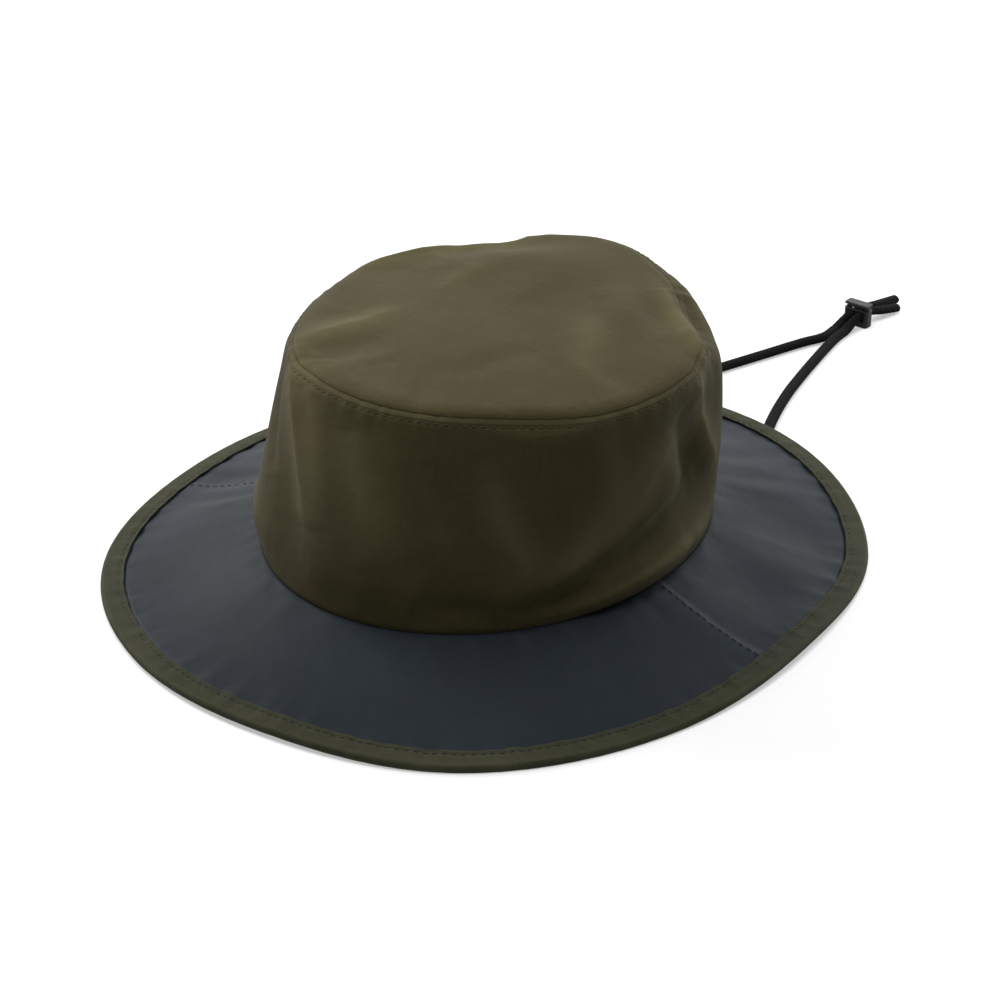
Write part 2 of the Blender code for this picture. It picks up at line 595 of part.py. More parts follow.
def smooth_curve(route, kept, step, lowest):
    """Points of a smooth curve through the route's points, above the surface, even between the rows that are kept."""
    route = np.array(route)
    gaps = np.sqrt(np.linalg.norm(np.diff(route, axis=0), axis=1))
    knots = np.concatenate([[0.0], np.cumsum(gaps)])
    slopes = np.empty_like(route)
    slopes[1:-1] = (((route[1:-1] - route[:-2]) / gaps[:-1, None] * gaps[1:, None]
                     + (route[2:] - route[1:-1]) / gaps[1:, None] * gaps[:-1, None])
                    / (gaps[:-1] + gaps[1:])[:, None])
    slopes[0] = (route[1] - route[0]) / gaps[0]
    slopes[-1] = (route[-1] - route[-2]) / gaps[-1]
    fine = []
    for i, gap in enumerate(gaps):
        t = np.linspace(0.0, 1.0, CURVE_PARTS, endpoint=False)[:, None]
        fine.append((2 * t ** 3 - 3 * t ** 2 + 1) * route[i] + (t ** 3 - 2 * t ** 2 + t) * gap * slopes[i]
                    + (3 * t ** 2 - 2 * t ** 3) * route[i + 1] + (t ** 3 - t ** 2) * gap * slopes[i + 1])
    fine = np.concatenate(fine + [route[-1:]])
    fine[:, 2] = np.maximum(fine[:, 2], lowest)
    along = np.concatenate([[0.0], np.cumsum(np.linalg.norm(np.diff(fine, axis=0), axis=1))])
    stations = [0.0]
    for first, last in zip(kept, kept[1:]):
        start, end = along[first * CURVE_PARTS], along[last * CURVE_PARTS]
        stretch = 1 if last == first + 1 else max(1, int(round((end - start) / step)))
        stations += list(np.linspace(start, end, stretch + 1)[1:])
    return np.stack([np.interp(stations, along, fine[:, axis]) for axis in range(3)], axis=-1)


def build_cord(name, side, braid):
    route, kept = cord_route(name, side)
    points = smooth_curve(route, kept, CORD_POINT_STEP * CORD_DIAMETER, CORD_RADIUS + LAY_GAP)
    curve = bpy.data.curves.new(name, "CURVE")
    curve.dimensions = "3D"
    curve.bevel_depth = CORD_RADIUS
    curve.bevel_resolution = 3
    curve.use_fill_caps = True
    spline = curve.splines.new("POLY")
    spline.points.add(len(points) - 1)
    for target, point in zip(spline.points, points):
        target.co = (*point, 1.0)
    new_object(name, curve, braid)


def build_hat():
    for item in list(bpy.data.objects):
        bpy.data.objects.remove(item, do_unlink=True)
    build_crown(plain_material("crown_olive", OLIVE, 0.85))
    build_brim(plain_material("brim_navy", NAVY, 0.6))
    build_binding(plain_material("binding_olive", BINDING_OLIVE, 0.8))
    tab_cloth = plain_material("tab_olive", OLIVE, 0.85)
    braid = plain_material("cord_charcoal", CHARCOAL, 0.8)
    for side in ("right", "left"):
        build_tab("cord_tab_" + side, TAB_ANGLES[side], tab_cloth.copy())
        build_cord("chin_cord_" + side, side, braid.copy())
    build_lock(plain_material("lock_black", BLACK, 0.45))


build_hat()
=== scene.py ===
"""Bush hat lying on a pale floor: camera, cords, cloth, stitching, materials and light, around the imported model.

Metres, +Z up. The front of the hat is -Y and the wearer's left is +X. Angles go round the hat, in degrees, from the
front (0) over the wearer's left (90) to the back (180).
"""
import math

import bmesh
import bpy
import numpy as np
from mathutils import Matrix, Vector


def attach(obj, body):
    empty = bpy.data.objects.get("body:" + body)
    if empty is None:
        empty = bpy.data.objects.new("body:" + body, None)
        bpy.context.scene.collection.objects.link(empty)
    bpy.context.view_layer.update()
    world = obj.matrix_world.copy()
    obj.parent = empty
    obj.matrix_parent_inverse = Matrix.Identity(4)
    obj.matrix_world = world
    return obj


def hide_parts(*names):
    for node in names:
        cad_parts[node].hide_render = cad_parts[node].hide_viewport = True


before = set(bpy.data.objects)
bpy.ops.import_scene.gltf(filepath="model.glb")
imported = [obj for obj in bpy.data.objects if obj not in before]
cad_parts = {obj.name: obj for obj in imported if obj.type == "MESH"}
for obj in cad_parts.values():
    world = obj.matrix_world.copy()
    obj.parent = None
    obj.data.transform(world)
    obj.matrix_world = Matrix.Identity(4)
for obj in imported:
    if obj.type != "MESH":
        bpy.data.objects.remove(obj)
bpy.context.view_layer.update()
MM = 0.001
BODY = "hat"

# Camera, as the photograph was taken
CAMERA_AZIMUTH = 30.11
CAMERA_ELEVATION = 26.18
CAMERA_ROLL = 0.935
CAMERA_DISTANCE = 1.20
CAMERA_TARGET = (0.0, 0.0, 0.05)
CAMERA_LENS = 104.63
CAMERA_SHIFT = (0.00896, -0.0499)

# Crown, as the solids have it
HEAD_HALF_WIDTH = 88.9 * MM
HEAD_HALF_LENGTH = 107.8 * MM
SEAT_HEIGHT = 21.9 * MM
SHOULDER_HALF_WIDTH = 88.0 * MM
SHOULDER_HALF_LENGTH = 90.0 * MM
SHOULDER_HEIGHT = 108.0 * MM
SHOULDER_LEFTWARD = 3.6 * MM
SHOULDER_BACKWARD = 2.2 * MM
CORNER_SIZE = 13.0 * MM
DOME_RISE = 6.0 * MM
FOLD_DEPTH = 7.0 * MM
FOLD_FADE = 0.20
FOLD_FADE_TOP = 0.4
SEWING_EDGE = 8.0 * MM
CROWN_CLOTH = 1.1 * MM
CROWN_SKIRT = 0.7 * MM  # the side's cloth goes on down to the brim

# Brim and binding, as the solids have them
BRIM_WIDTH = 63.0 * MM
BRIM_CLOTH = 1.8 * MM
BRIM_EDGE_CLOTH = 1.0 * MM
BRIM_SLOPE_POWER = 1.5
EDGE_RISE = 8.0 * MM
RIPPLE_FADE = 0.2
RIPPLE_FADE_EDGE = 16.0 * MM
BINDING_WIDTH = 9.5 * MM
BINDING_HALF = 1.8 * MM
BINDING_CLOTH = 0.9 * MM
BINDING_FOLD = 1.5 * MM  # how far in its fold round the edge reaches
BINDING_SETTLE = 0.45 * MM
SEAT_GAP = 0.8 * MM

# Sewing
SEAM_DEPTH = 0.45 * MM  # valley of the seam round the top
SEAM_HALF_WIDTH = 1.3 * MM
TOPSTITCH_FROM_SEAM = 3.2 * MM
BINDING_STITCH_IN = 7.7 * MM  # from the brim's edge
STITCH_LENGTH = 2.7 * MM
STITCH_GAP = 0.9 * MM
THREAD_RADIUS = 0.24 * MM
STITCH_SIDES, STITCH_PARTS = 8, 9
STITCH_PRESSED = 0.28 * MM  # into the tape's underside, where the hat rests
BRIM_SEAM_ANGLES = (82.0, -83.0)
BRIM_SEAM_STEP = 0.5 * MM  # one brim panel laps over the other

# Cord
CORD_WIDTH = 5.4 * MM
CORD_HEIGHT = 4.4 * MM
CORD_CORE = 4.35 * MM  # across, where it is held round
CORD_SEAT = 4.4 * MM  # from the crown's outside in to the middle of a cord that a tab holds
CORD_LIE = 2.4 * MM  # height of its middle above the floor
BRAID_CELL = 2.9 * MM  # length of one crossing of the braid's strands
BRAID_STRANDS = 16
BRAID_RELIEF = 0.42 * MM
BRAID_STEP = 0.32 * MM  # between rings of points
CORD_SIDES = 56

# Tabs that hold the cords' ends inside the crown
TAB_ANGLES = {"right": -111.0, "left": 109.0}
TAB_CLOTH = 0.9 * MM
TAB_FOOT = 1.2 * MM  # above the crown's lower edge
TAB_LENGTH = 9.0 * MM
TAB_HALF_WIDTH = 9.8 * MM
TAB_BEND = 1.3 * MM  # from the loop's side to the flat tail

# Facets
AROUND = 512
CROWN_SAMPLES = 281

SHOULDER = (
    # half_size, height, rounding, seam_inward
    (1.008, 0.998, 0.55, 0.45),
    (1.005, 1.004, 0.55, 0.45),
    (1.016, 0.99, 0.6, 0.5),
    (1.006, 1.004, 0.75, 0.7),
    (0.97, 1.01, 1.0, 1.35),
    (0.98, 1.036, 1.0, 1.4),
    (1.012, 1.072, 0.8, 0.8),
    (0.992, 1.04, 0.7, 0.6),
    (0.986, 1.012, 0.75, 0.7),
    (0.958, 1.006, 1.0, 0.95),
    (0.967, 1.0, 0.9, 0.8),
    (1.004, 0.998, 0.65, 0.55),
)

BRIM_EDGE = (
    # width, rise
    (0.955, 0.18),
    (1.05, 0.0),
    (0.99, 0.03),
    (0.94, 0.31),
    (1.055, 0.0),
    (1.035, 0.66),
    (0.95, 0.93),
    (1.0, 0.62),
    (1.025, 0.0),
    (0.97, 0.24),
    (1.055, 0.0),
    (1.0, 0.1),
)

# Large folds of the crown, as the solids have them: angle, place up the line from the brim (0) over the fold round
# the top (1) to the middle (2), half widths of the two, lean in degrees per step up, depth as a share of FOLD_DEPTH
CROWN_FOLDS = (
    (-27, 0.6, 7, 0.42, -10, -0.45),
    (-44, 0.5, 13, 0.4, 0, 0.5),
    (-62, 0.12, 26, 0.2, 0, 0.35),
    (5, 0.45, 22, 0.4, 0, 0.3),
    (62, 0.42, 8, 0.22, 30, -0.55),
    (66, 0.14, 24, 0.11, 0, 0.45),
    (97, 0.62, 6.5, 0.28, 4, -0.6),
    (112, 0.6, 8, 0.4, 0, 0.4),
    (150, 0.45, 12, 0.35, 8, -0.4),
    (196, 0.5, 14, 0.35, -6, -0.3),
    (-115, 0.45, 11, 0.35, 10, -0.45),
    (-88, 0.4, 10, 0.3, 0, 0.25),
    (118, 1.25, 15, 0.12, 0, -0.35),
    (122, 1.42, 18, 0.1, 0, 0.3),
    (-150, 1.18, 20, 0.12, 0, -0.4),
    (-140, 1.42, 24, 0.12, 0, 0.3),
    (-50, 1.3, 16, 0.15, 0, -0.25),
)

# Creases of the crown's cloth: height (negative is a valley) and half width in mm, sharpness from 0 (soft) to 1, and
# the crease's own line as angle and place up
CREASES = (
    (3.6, 4.5, 0.8, ((-96, 1.06), (-107, 1.13), (-118, 1.18), (-132, 1.19), (-147, 1.17), (-162, 1.08))),
    (-4.2, 6.5, 0.2, ((-122, 1.03), (-134, 1.05), (-146, 1.05), (-156, 1.0))),
    (2.7, 4.2, 0.5, ((143, 1.2), (135, 1.19), (122, 1.17), (110, 1.12), (102, 1.05), (98, 0.98))),
    (-4.6, 5.5, 0.3, ((140, 1.08), (128, 1.07), (116, 1.03), (106, 0.96))),
    (1.8, 6.0, 0.5, ((-43, 1.04), (-48, 1.18), (-53, 1.36), (-62, 1.52))),
    (-1.4, 7.0, 0.2, ((-30, 1.1), (-32, 1.24), (-34, 1.4))),
    (4.8, 8.0, 0.9, ((-38, 0.98), (-34, 0.9), (-30, 0.82), (-26, 0.66), (-22, 0.5), (-18, 0.3))),
    (-2.8, 6.0, 0.4, ((-50, 0.92), (-46, 0.76), (-42, 0.58), (-37, 0.42))),
    (2.8, 4.5, 0.8, ((89, 0.95), (93, 0.86), (98, 0.7), (103, 0.52), (108, 0.36))),
    (-4.2, 6.5, 0.3, ((82, 0.86), (86, 0.72), (91, 0.56), (96, 0.4))),
    (3.4, 8.0, 0.8, ((82, 0.76), (74, 0.62), (68, 0.48), (62, 0.35), (54, 0.24), (46, 0.17))),
    (-5.0, 6.5, 0.25, ((98, 0.4), (88, 0.33), (76, 0.26), (66, 0.2), (56, 0.15), (48, 0.12))),
    (3.6, 5.0, 0.2, ((108, 0.11), (92, 0.11), (78, 0.1), (64, 0.07), (50, 0.05))),
    (-2.6, 3.2, 0.5, ((62, 0.13), (55, 0.11), (47, 0.12), (40, 0.1))),
    (-1.6, 4.0, 0.4, ((36, 0.09), (28, 0.13), (20, 0.11))),
    (2.0, 9.0, 0.1, ((-92, 0.13), (-70, 0.13), (-50, 0.11), (-32, 0.08))),
    (1.1, 3.0, 0.6, ((28, 0.92), (38, 0.91), (48, 0.92), (56, 0.94))),
    (-1.0, 4.0, 0.5, ((22, 0.95), (36, 0.95), (50, 0.95))),
    (1.7, 8.0, 0.5, ((-8, 0.86), (-2, 0.66), (4, 0.44), (8, 0.26))),
    (-1.6, 5.0, 0.4, ((14, 0.8), (19, 0.6), (22, 0.42))),
    (1.4, 5.0, 0.5, ((30, 0.72), (34, 0.52), (40, 0.34), (44, 0.24))),
    (1.8, 5.0, 0.6, ((150, 0.94), (154, 0.74), (160, 0.5), (164, 0.3))),
    (-1.5, 5.0, 0.5, ((172, 0.9), (178, 0.66), (184, 0.4))),
    (1.6, 5.0, 0.6, ((-160, 0.92), (-166, 0.66), (-172, 0.36))),
    (-1.6, 4.5, 0.5, ((-132, 0.86), (-126, 0.6), (-122, 0.34))),
    (1.5, 4.5, 0.6, ((-106, 0.9), (-100, 0.64), (-96, 0.4), (-90, 0.22))),
    (-1.2, 4.0, 0.5, ((-80, 0.84), (-76, 0.6), (-70, 0.36))),
    (1.1, 4.0, 0.5, ((-64, 0.8), (-60, 0.56), (-54, 0.3))),
    (0.9, 5.0, 0.3, ((60, 1.3), (72, 1.44), (90, 1.56), (110, 1.62))),
    (-0.9, 6.0, 0.2, ((10, 1.3), (24, 1.44), (50, 1.58))),
    (0.8, 5.0, 0.3, ((-150, 1.5), (-120, 1.58), (-90, 1.64))),
)

# Waves and fine gathers of the brim: angle, place across it, half widths of the two, and height in mm
BRIM_WAVES = (
    (-84, 0.55, 6, 0.3, -1.2),
    (-98, 0.55, 6, 0.3, 1.35),
    (-112, 0.5, 6, 0.28, -1.05),
    (-68, 0.5, 8, 0.28, 0.9),
    (-40, 0.45, 14, 0.28, -0.9),
    (96, 0.5, 6, 0.28, -1.05),
    (108, 0.5, 5.5, 0.28, 1.2),
    (121, 0.55, 6, 0.28, -0.9),
    (136, 0.5, 7, 0.28, 1.05),
    (40, 0.45, 14, 0.26, 0.675),
    (172, 0.5, 9, 0.28, -0.75),
    (-90, 0.42, 1.6, 0.22, 0.45),
    (-86.5, 0.5, 1.5, 0.26, -0.35),
    (-79.5, 0.48, 1.7, 0.24, 0.5),
    (-76, 0.44, 1.4, 0.22, -0.35),
    (-72.5, 0.4, 1.6, 0.2, 0.4),
    (-104, 0.45, 2, 0.22, -0.4),
    (134, 0.42, 1.8, 0.2, 0.45),
    (139.5, 0.46, 1.6, 0.22, -0.4),
    (144.5, 0.4, 1.8, 0.2, 0.45),
    (150, 0.44, 1.7, 0.2, -0.35),
    (156, 0.38, 2.2, 0.18, 0.4),
    (114, 0.4, 2.2, 0.22, 0.35),
    (20, 0.3, 4, 0.16, 0.35),
    (-22, 0.34, 5, 0.18, -0.35),
    (56, 0.36, 4, 0.2, -0.3),
    (-140, 0.4, 3, 0.2, 0.4),
    (-162, 0.44, 3, 0.2, -0.35),
)

# The cords' routes: the points that each smooth curve runs through, from its tab to its free end
CORD_ROUTES = {
    "chin_cord_right": (
        (-0.0774, 0.0363, 0.0322), (-0.0788, 0.0373, 0.0215), (-0.0700, 0.0560, 0.0024), (-0.0560, 0.0940, 0.0024),
        (-0.0365, 0.1400, 0.0024), (-0.0120, 0.1950, 0.0024), (0.0087, 0.2427, 0.0024), (0.0196, 0.2680, 0.0024),
        (0.0256, 0.2800, 0.0024), (0.0265, 0.2919, 0.0025), (0.0280, 0.3025, 0.0057), (0.0295, 0.3131, 0.0057),
        (0.0331, 0.3281, 0.0040), (0.0367, 0.3431, 0.0024),
    ),
    "chin_cord_left": (
        (0.0809, 0.0336, 0.0338), (0.0798, 0.0339, 0.0219), (0.0750, 0.0560, 0.0024), (0.0690, 0.0950, 0.0024),
        (0.0590, 0.1370, 0.0024), (0.0463, 0.1754, 0.0024), (0.0392, 0.2075, 0.0024), (0.0356, 0.2330, 0.0024),
        (0.0325, 0.2620, 0.0024), (0.0311, 0.2800, 0.0024), (0.0314, 0.2913, 0.0025), (0.0329, 0.3019, 0.0057),
        (0.0344, 0.3125, 0.0057), (0.0381, 0.3229, 0.0040), (0.0419, 0.3333, 0.0024),
    ),
}

# Base colours, linear. The second colour of each pair (olive, navy, tape, charcoal, navy thread) is the low end of
# its material's tone, which mixes the thing's own uneven colour with painted shade in the hollows of the weave, the
# thread's twist and the cord's braid.
OLIVE = (0.0480, 0.0408, 0.0166)
OLIVE_DARK_AND_SHADE = (0.0282, 0.0233, 0.0092)
NAVY = (0.0100, 0.0146, 0.0195)
NAVY_DARK_AND_SHADE = (0.0050, 0.0073, 0.0098)
TAPE = (0.0275, 0.0285, 0.0142)
TAPE_DARK_AND_SHADE = (0.0145, 0.015, 0.0072)
CHARCOAL = (0.0088, 0.0087, 0.0082)
CHARCOAL_DARK_AND_SHADE = (0.0022, 0.0022, 0.0020)
THREAD_OLIVE = (0.036, 0.030, 0.0125)
THREAD_DARK = (0.010, 0.011, 0.012)
THREAD_NAVY = (0.0125, 0.0172, 0.0225)
THREAD_NAVY_DARK_AND_SHADE = (0.0080, 0.0115, 0.0150)

FLOOR_HALF = 12.0
LIGHTS = (
    # name, place, height that it points at over the origin, size, power, colour
    ("backdrop", (-0.95, 1.45, 0.50), 0.05, (2.2, 0.8), 18.0, (1.0, 1.0, 1.0)),
    ("key", (-1.50, 0.15, 0.95), 0.06, (0.8, 0.8), 39.0, (1.0, 0.99, 0.97)),
    ("rim", (0.50, 1.35, 0.55), 0.06, (0.7, 0.8), 18.0, (1.0, 1.0, 1.0)),
    ("top", (0.0, 0.05, 2.0), 0.05, (1.2, 1.2), 50.0, (1.0, 1.0, 1.0)),
)


def unit(vectors):
    return vectors / np.maximum(np.linalg.norm(vectors, axis=-1, keepdims=True), 1e-12)


def smooth_step(value):
    """0 below 0, 1 above 1, and an even rise between."""
    value = np.clip(value, 0.0, 1.0)
    return value * value * (3.0 - 2.0 * value)


def turn_between(angles, other):
    """Degrees from one direction round the hat to another, between -180 and 180."""
    return (angles - other + 180.0) % 360.0 - 180.0


def bump(distance, half_width):
    """1 in the middle, one half at the half width, falling to nothing."""
    return np.exp2(-(distance / half_width) ** 2)


def column_round(rows, column, angles):
    """A table's column at any angle, drawn smoothly through its evenly spaced rows."""
    values = np.array([row[column] for row in rows])
    place = np.asarray(angles) / 360.0 * len(values)
    row = np.floor(place).astype(int)
    t = place - row
    before, first, second, after = (values[(row + step) % len(values)] for step in (-1, 0, 1, 2))
    return 0.5 * (2.0 * first + (second - before) * t
                  + (2.0 * before - 5.0 * first + 4.0 * second - after) * t ** 2
                  + (3.0 * first - before - 3.0 * second + after) * t ** 3)


def waves(places, seed, longest, count=7):
    """Gentle uneven waves along a line, about 1 high, the same for the same seed."""
    chance = np.random.default_rng(seed)
    total = np.zeros_like(places)
    for step in range(count):
        turns = chance.uniform(0.6, 1.5) * (1.45 ** step) / longest
        total += np.sin(2.0 * math.pi * (places * turns + chance.uniform())) / (1.25 ** step)
    return total / 2.0


def make_camera():
    azimuth, elevation, roll = (math.radians(v) for v in (CAMERA_AZIMUTH, CAMERA_ELEVATION, CAMERA_ROLL))
    camera = bpy.data.objects.new("camera", bpy.data.cameras.new("camera"))
    bpy.context.scene.collection.objects.link(camera)
    camera.matrix_world = (Matrix.Translation(CAMERA_TARGET) @ Matrix.Rotation(azimuth, 4, "Z")
                           @ Matrix.Rotation(math.pi / 2.0 - elevation, 4, "X") @ Matrix.Rotation(roll, 4, "Z")
                           @ Matrix.Translation((0.0, 0.0, CAMERA_DISTANCE)))
    camera.data.sensor_width = 36.0
    camera.data.lens = CAMERA_LENS
    camera.data.shift_x, camera.data.shift_y = CAMERA_SHIFT
    bpy.context.scene.camera = camera


class Shading:
    """A material's node tree, built by short calls."""

    def __init__(self, name):
        self.material = bpy.data.materials.new(name)
        self.material.use_nodes = True
        self.tree = self.material.node_tree
        self.shader = self.tree.nodes["Principled BSDF"]
        self.place = self.node("NewGeometry").outputs["Position"]
        self.flat = self.node("UVMap", {"uv_map": "cloth"}).outputs["UV"]
        self.across, self.along = self.node("SeparateXYZ", Vector=self.flat).outputs[:2]
        # Wear per point on the cloth pieces; on the cord, the strands' height for painted shade.
        self.wear_and_shade = self.node("Attribute", {"attribute_name": "wear_and_shade"}).outputs["Fac"]

    def fill(self, socket, value):
        """Joins another node's output to a socket, or sets its value."""
        if isinstance(value, bpy.types.NodeSocket):
            self.tree.links.new(value, socket)
        else:
            socket.default_value = value

    def node(self, kind, settings=(), **inputs):
        """A node with its settings and its inputs, by name or by number as i0, i1 and so on."""
        made = self.tree.nodes.new("ShaderNode" + kind)
        for key, value in dict(settings).items():
            setattr(made, key, value)
        for key, value in inputs.items():
            self.fill(made.inputs[int(key[1:])] if key[1:].isdigit() else made.inputs[key], value)
        return made

    def math(self, operation, first, second=0.0, third=0.0):
        return self.node("Math", {"operation": operation}, i0=first, i1=second, i2=third).outputs[0]

    def total(self, *terms, start=0.0):
        """The sum of values, each times its share."""
        for value, share in terms:
            start = self.math("MULTIPLY_ADD", value, share, start)
        return start

    def wave(self, value, turn):
        return self.math("SINE", self.math("MULTIPLY", value, turn))

    def noise(self, vector, scale, detail=3.0):
        return self.node("TexNoise", Vector=vector, Scale=scale, Detail=detail, Roughness=0.55).outputs["Fac"]

    def mixed(self, factor, low, high):
        """A colour between two, by a factor."""
        low, high = (value if isinstance(value, bpy.types.NodeSocket) else (*value, 1.0) for value in (low, high))
        return self.node("Mix", {"data_type": "RGBA"}, i0=factor, i6=low, i7=high).outputs[2]

    def range(self, value, low, high, to_low=0.0, to_high=1.0):
        return self.node("MapRange", i0=value, i1=low, i2=high, i3=to_low, i4=to_high).outputs[0]

    def shade(self, **values):
        """The shader's own inputs, named with underscores for spaces."""
        for key, value in values.items():
            self.fill(self.shader.inputs[key.replace("_", " ")], value)

    def bumps(self, *layers):
        """Bumps over each other, each a height and its depth in metres."""
        under = {}
        for height, depth in layers:
            over = self.node("Bump", Distance=depth, Height=height, **under)
            under = {"Normal": over.outputs["Normal"]}
        self.shade(**under)


def cloth_material(name, light, dark_and_shade, thread, roughness, sheen, weave="plain", slub=0.5, relief=0.10, worn=0.35,
                   shine=0.25, crumple=0.6, uneven=0.10):
    """Woven cloth: threads from the cloth's own flat coordinates, thread by thread unevenness, fading and wear, with
    painted shade in the hollows between the woven threads.
    """
    s = Shading(name)
    turn = math.pi / thread
    if weave == "twill":
        ribs = s.wave(s.math("ADD", s.across, s.along), turn)
        breaks = s.wave(s.math("SUBTRACT", s.across, s.along), turn * 2.0)
        height = s.total((ribs, 0.38), (breaks, 0.12), start=0.5)
    else:
        height = s.total((s.math("MULTIPLY", s.wave(s.across, turn), s.wave(s.along, turn)), 0.5), start=0.5)

    def yarns(scale):
        """Thick and thin places, drawn out along one set of threads."""
        stretched = s.node("Mapping", Vector=s.flat, Scale=scale)
        return s.noise(stretched.outputs[0], 1.1 / thread, 2.0)

    threads = s.math("ADD", yarns((1.0, 0.02, 1.0)), yarns((0.02, 1.0, 1.0)))
    blotch = s.noise(s.place, 16.0, 4.0)
    fleck = s.noise(s.place, 900.0, 2.0)
    # The weave's height makes the hollows between threads darker: painted shade. Slubs, flecks and blotches are the
    # cloth's own uneven colour.
    tone_and_shade = s.total((height, 0.34), (s.range(threads, 0.72, 1.28), slub), (s.range(fleck, 0.3, 0.7), 0.22),
                   (s.range(blotch, 0.3, 0.7), 0.5))
    colour = s.mixed(s.range(tone_and_shade, 0.25, 1.04 + slub), dark_and_shade, light)
    pale = tuple(min(1.0, 1.9 * value + 0.012) for value in light)
    patchy = s.total((blotch, 0.6), (height, 0.4))
    s.shade(Base_Color=s.mixed(s.math("MULTIPLY", s.wear_and_shade, worn), colour, pale), Specular_IOR_Level=shine,
            Roughness=s.range(patchy, 0.2, 0.8, roughness + 0.06, roughness - 0.06),
            Sheen_Weight=sheen, Sheen_Roughness=0.32, Sheen_Tint=(0.86, 0.88, 0.92, 1.0))
    s.bumps((s.noise(s.place, 95.0, 3.0), crumple * MM), (threads, uneven * MM), (height, relief * MM))
    return s.material


def thread_material(name, light, dark_and_shade):
    """Twisted sewing thread, with painted shade in the hollows of its twist."""
    s = Shading(name)
    twist = s.math("SINE", s.total((s.across, 0.5 * math.pi), (s.along, 2.0 * math.pi)))
    # Low places of the twist are darker: painted shade between the plies, with flecks of real uneven colour.
    tone_and_shade = s.total((s.noise(s.place, 2500.0), 0.4), start=s.range(twist, -1.0, 1.0, 0.1, 0.6))
    s.shade(Base_Color=s.mixed(tone_and_shade, dark_and_shade, light), Roughness=0.65, Specular_IOR_Level=0.2)
    s.bumps((twist, 0.012 * MM))
    return s.material


def braid_material(name):
    """Braided polyester cord: fine filaments over the modelled strands, and painted shade darkening the grooves
    between them.
    """
    s = Shading(name)
    filament = s.math("SINE", s.total((s.across, 26000.0), (s.along, 9000.0)))
    fuzz = s.noise(s.place, 1500.0)
    # The strands' height, carried in the wear attribute, darkens the grooves between strands: painted shade. Fuzz and
    # the broad noise are the cord's own uneven colour.
    tone_and_shade = s.total((s.range(s.wear_and_shade, 0.15, 0.9), 0.55), (fuzz, 0.35), (s.noise(s.place, 40.0), 0.3))
    s.shade(Base_Color=s.mixed(s.range(tone_and_shade, 0.2, 1.1), CHARCOAL_DARK_AND_SHADE, CHARCOAL),
            Roughness=s.range(fuzz, 0.3, 0.7, 0.86, 0.74), Specular_IOR_Level=0.04)
    s.bumps((fuzz, 0.06 * MM), (filament, 0.03 * MM))
    return s.material


def moulded_material(name, colour):
    """Moulded plastic with a fine grain, rubbed smoother and paler in places."""
    s = Shading(name)
    rub = s.noise(s.place, 420.0, 3.0)
    pale = tuple(1.6 * value + 0.002 for value in colour)
    s.shade(Base_Color=s.mixed(s.range(rub, 0.42, 0.72), colour, pale), Roughness=s.range(rub, 0.35, 0.7, 0.55, 0.40),
            Specular_IOR_Level=0.18)
    s.bumps((s.noise(s.place, 5200.0, 2.0), 0.03 * MM))
    return s.material


def floor_material():
    s = Shading("floor_pale")
    s.shade(Base_Color=s.mixed(s.noise(s.place, 7.0), (0.34, 0.34, 0.34), (0.36, 0.36, 0.36)), Roughness=0.9,
            Specular_IOR_Level=0.1, Emission_Color=(1.0, 1.0, 1.0, 1.0), Emission_Strength=0.44)
    return s.material


def new_piece(name, points, faces, corners_flat, material, wear_and_shade=None):
    """A mesh object with flat cloth coordinates per face corner and a value per point for wear, which on the cord is
    instead the strands' height for painted shade.
    """
    mesh = bpy.data.meshes.new(name)
    mesh.from_pydata(np.asarray(points).tolist(), [], faces)
    layer = mesh.uv_layers.new(name="cloth")
    layer.data.foreach_set("uv", np.asarray(corners_flat, dtype=np.float32).ravel())
    attribute = mesh.attributes.new("wear_and_shade", "FLOAT", "POINT")
    if wear_and_shade is not None:
        attribute.data.foreach_set("value", np.asarray(wear_and_shade, dtype=np.float32).ravel())
    solid = bmesh.new()
    solid.from_mesh(mesh)
    if solid.calc_volume(signed=True) < 0.0:
        mesh.flip_normals()
    solid.free()
    mesh.shade_smooth()
    mesh.materials.append(material)
    piece = bpy.data.objects.new(name, mesh)
    bpy.context.scene.collection.objects.link(piece)
    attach(piece, BODY)
    return piece


def ring_faces(rings, flats, closed):
    """Quads between rings of points, and from the last ring back to the first where closed, with the flat coordinates
    of their corners. flats has one more column than the rings, so that the last meets the first."""
    rows, count = rings.shape[:2]
    row = np.repeat(np.arange(rows if closed else rows - 1), count)
    column = np.tile(np.arange(count), len(row) // count)
    upper, after = (row + 1) % rows, (column + 1) % count
    quads = np.stack([row * count + column, row * count + after, upper * count + after, upper * count + column],
                     axis=-1)
    corners = np.stack([flats[row, column], flats[row, column + 1], flats[upper, column + 1], flats[upper, column]],
                       axis=1)
    return quads.tolist(), corners.reshape(-1, 2)


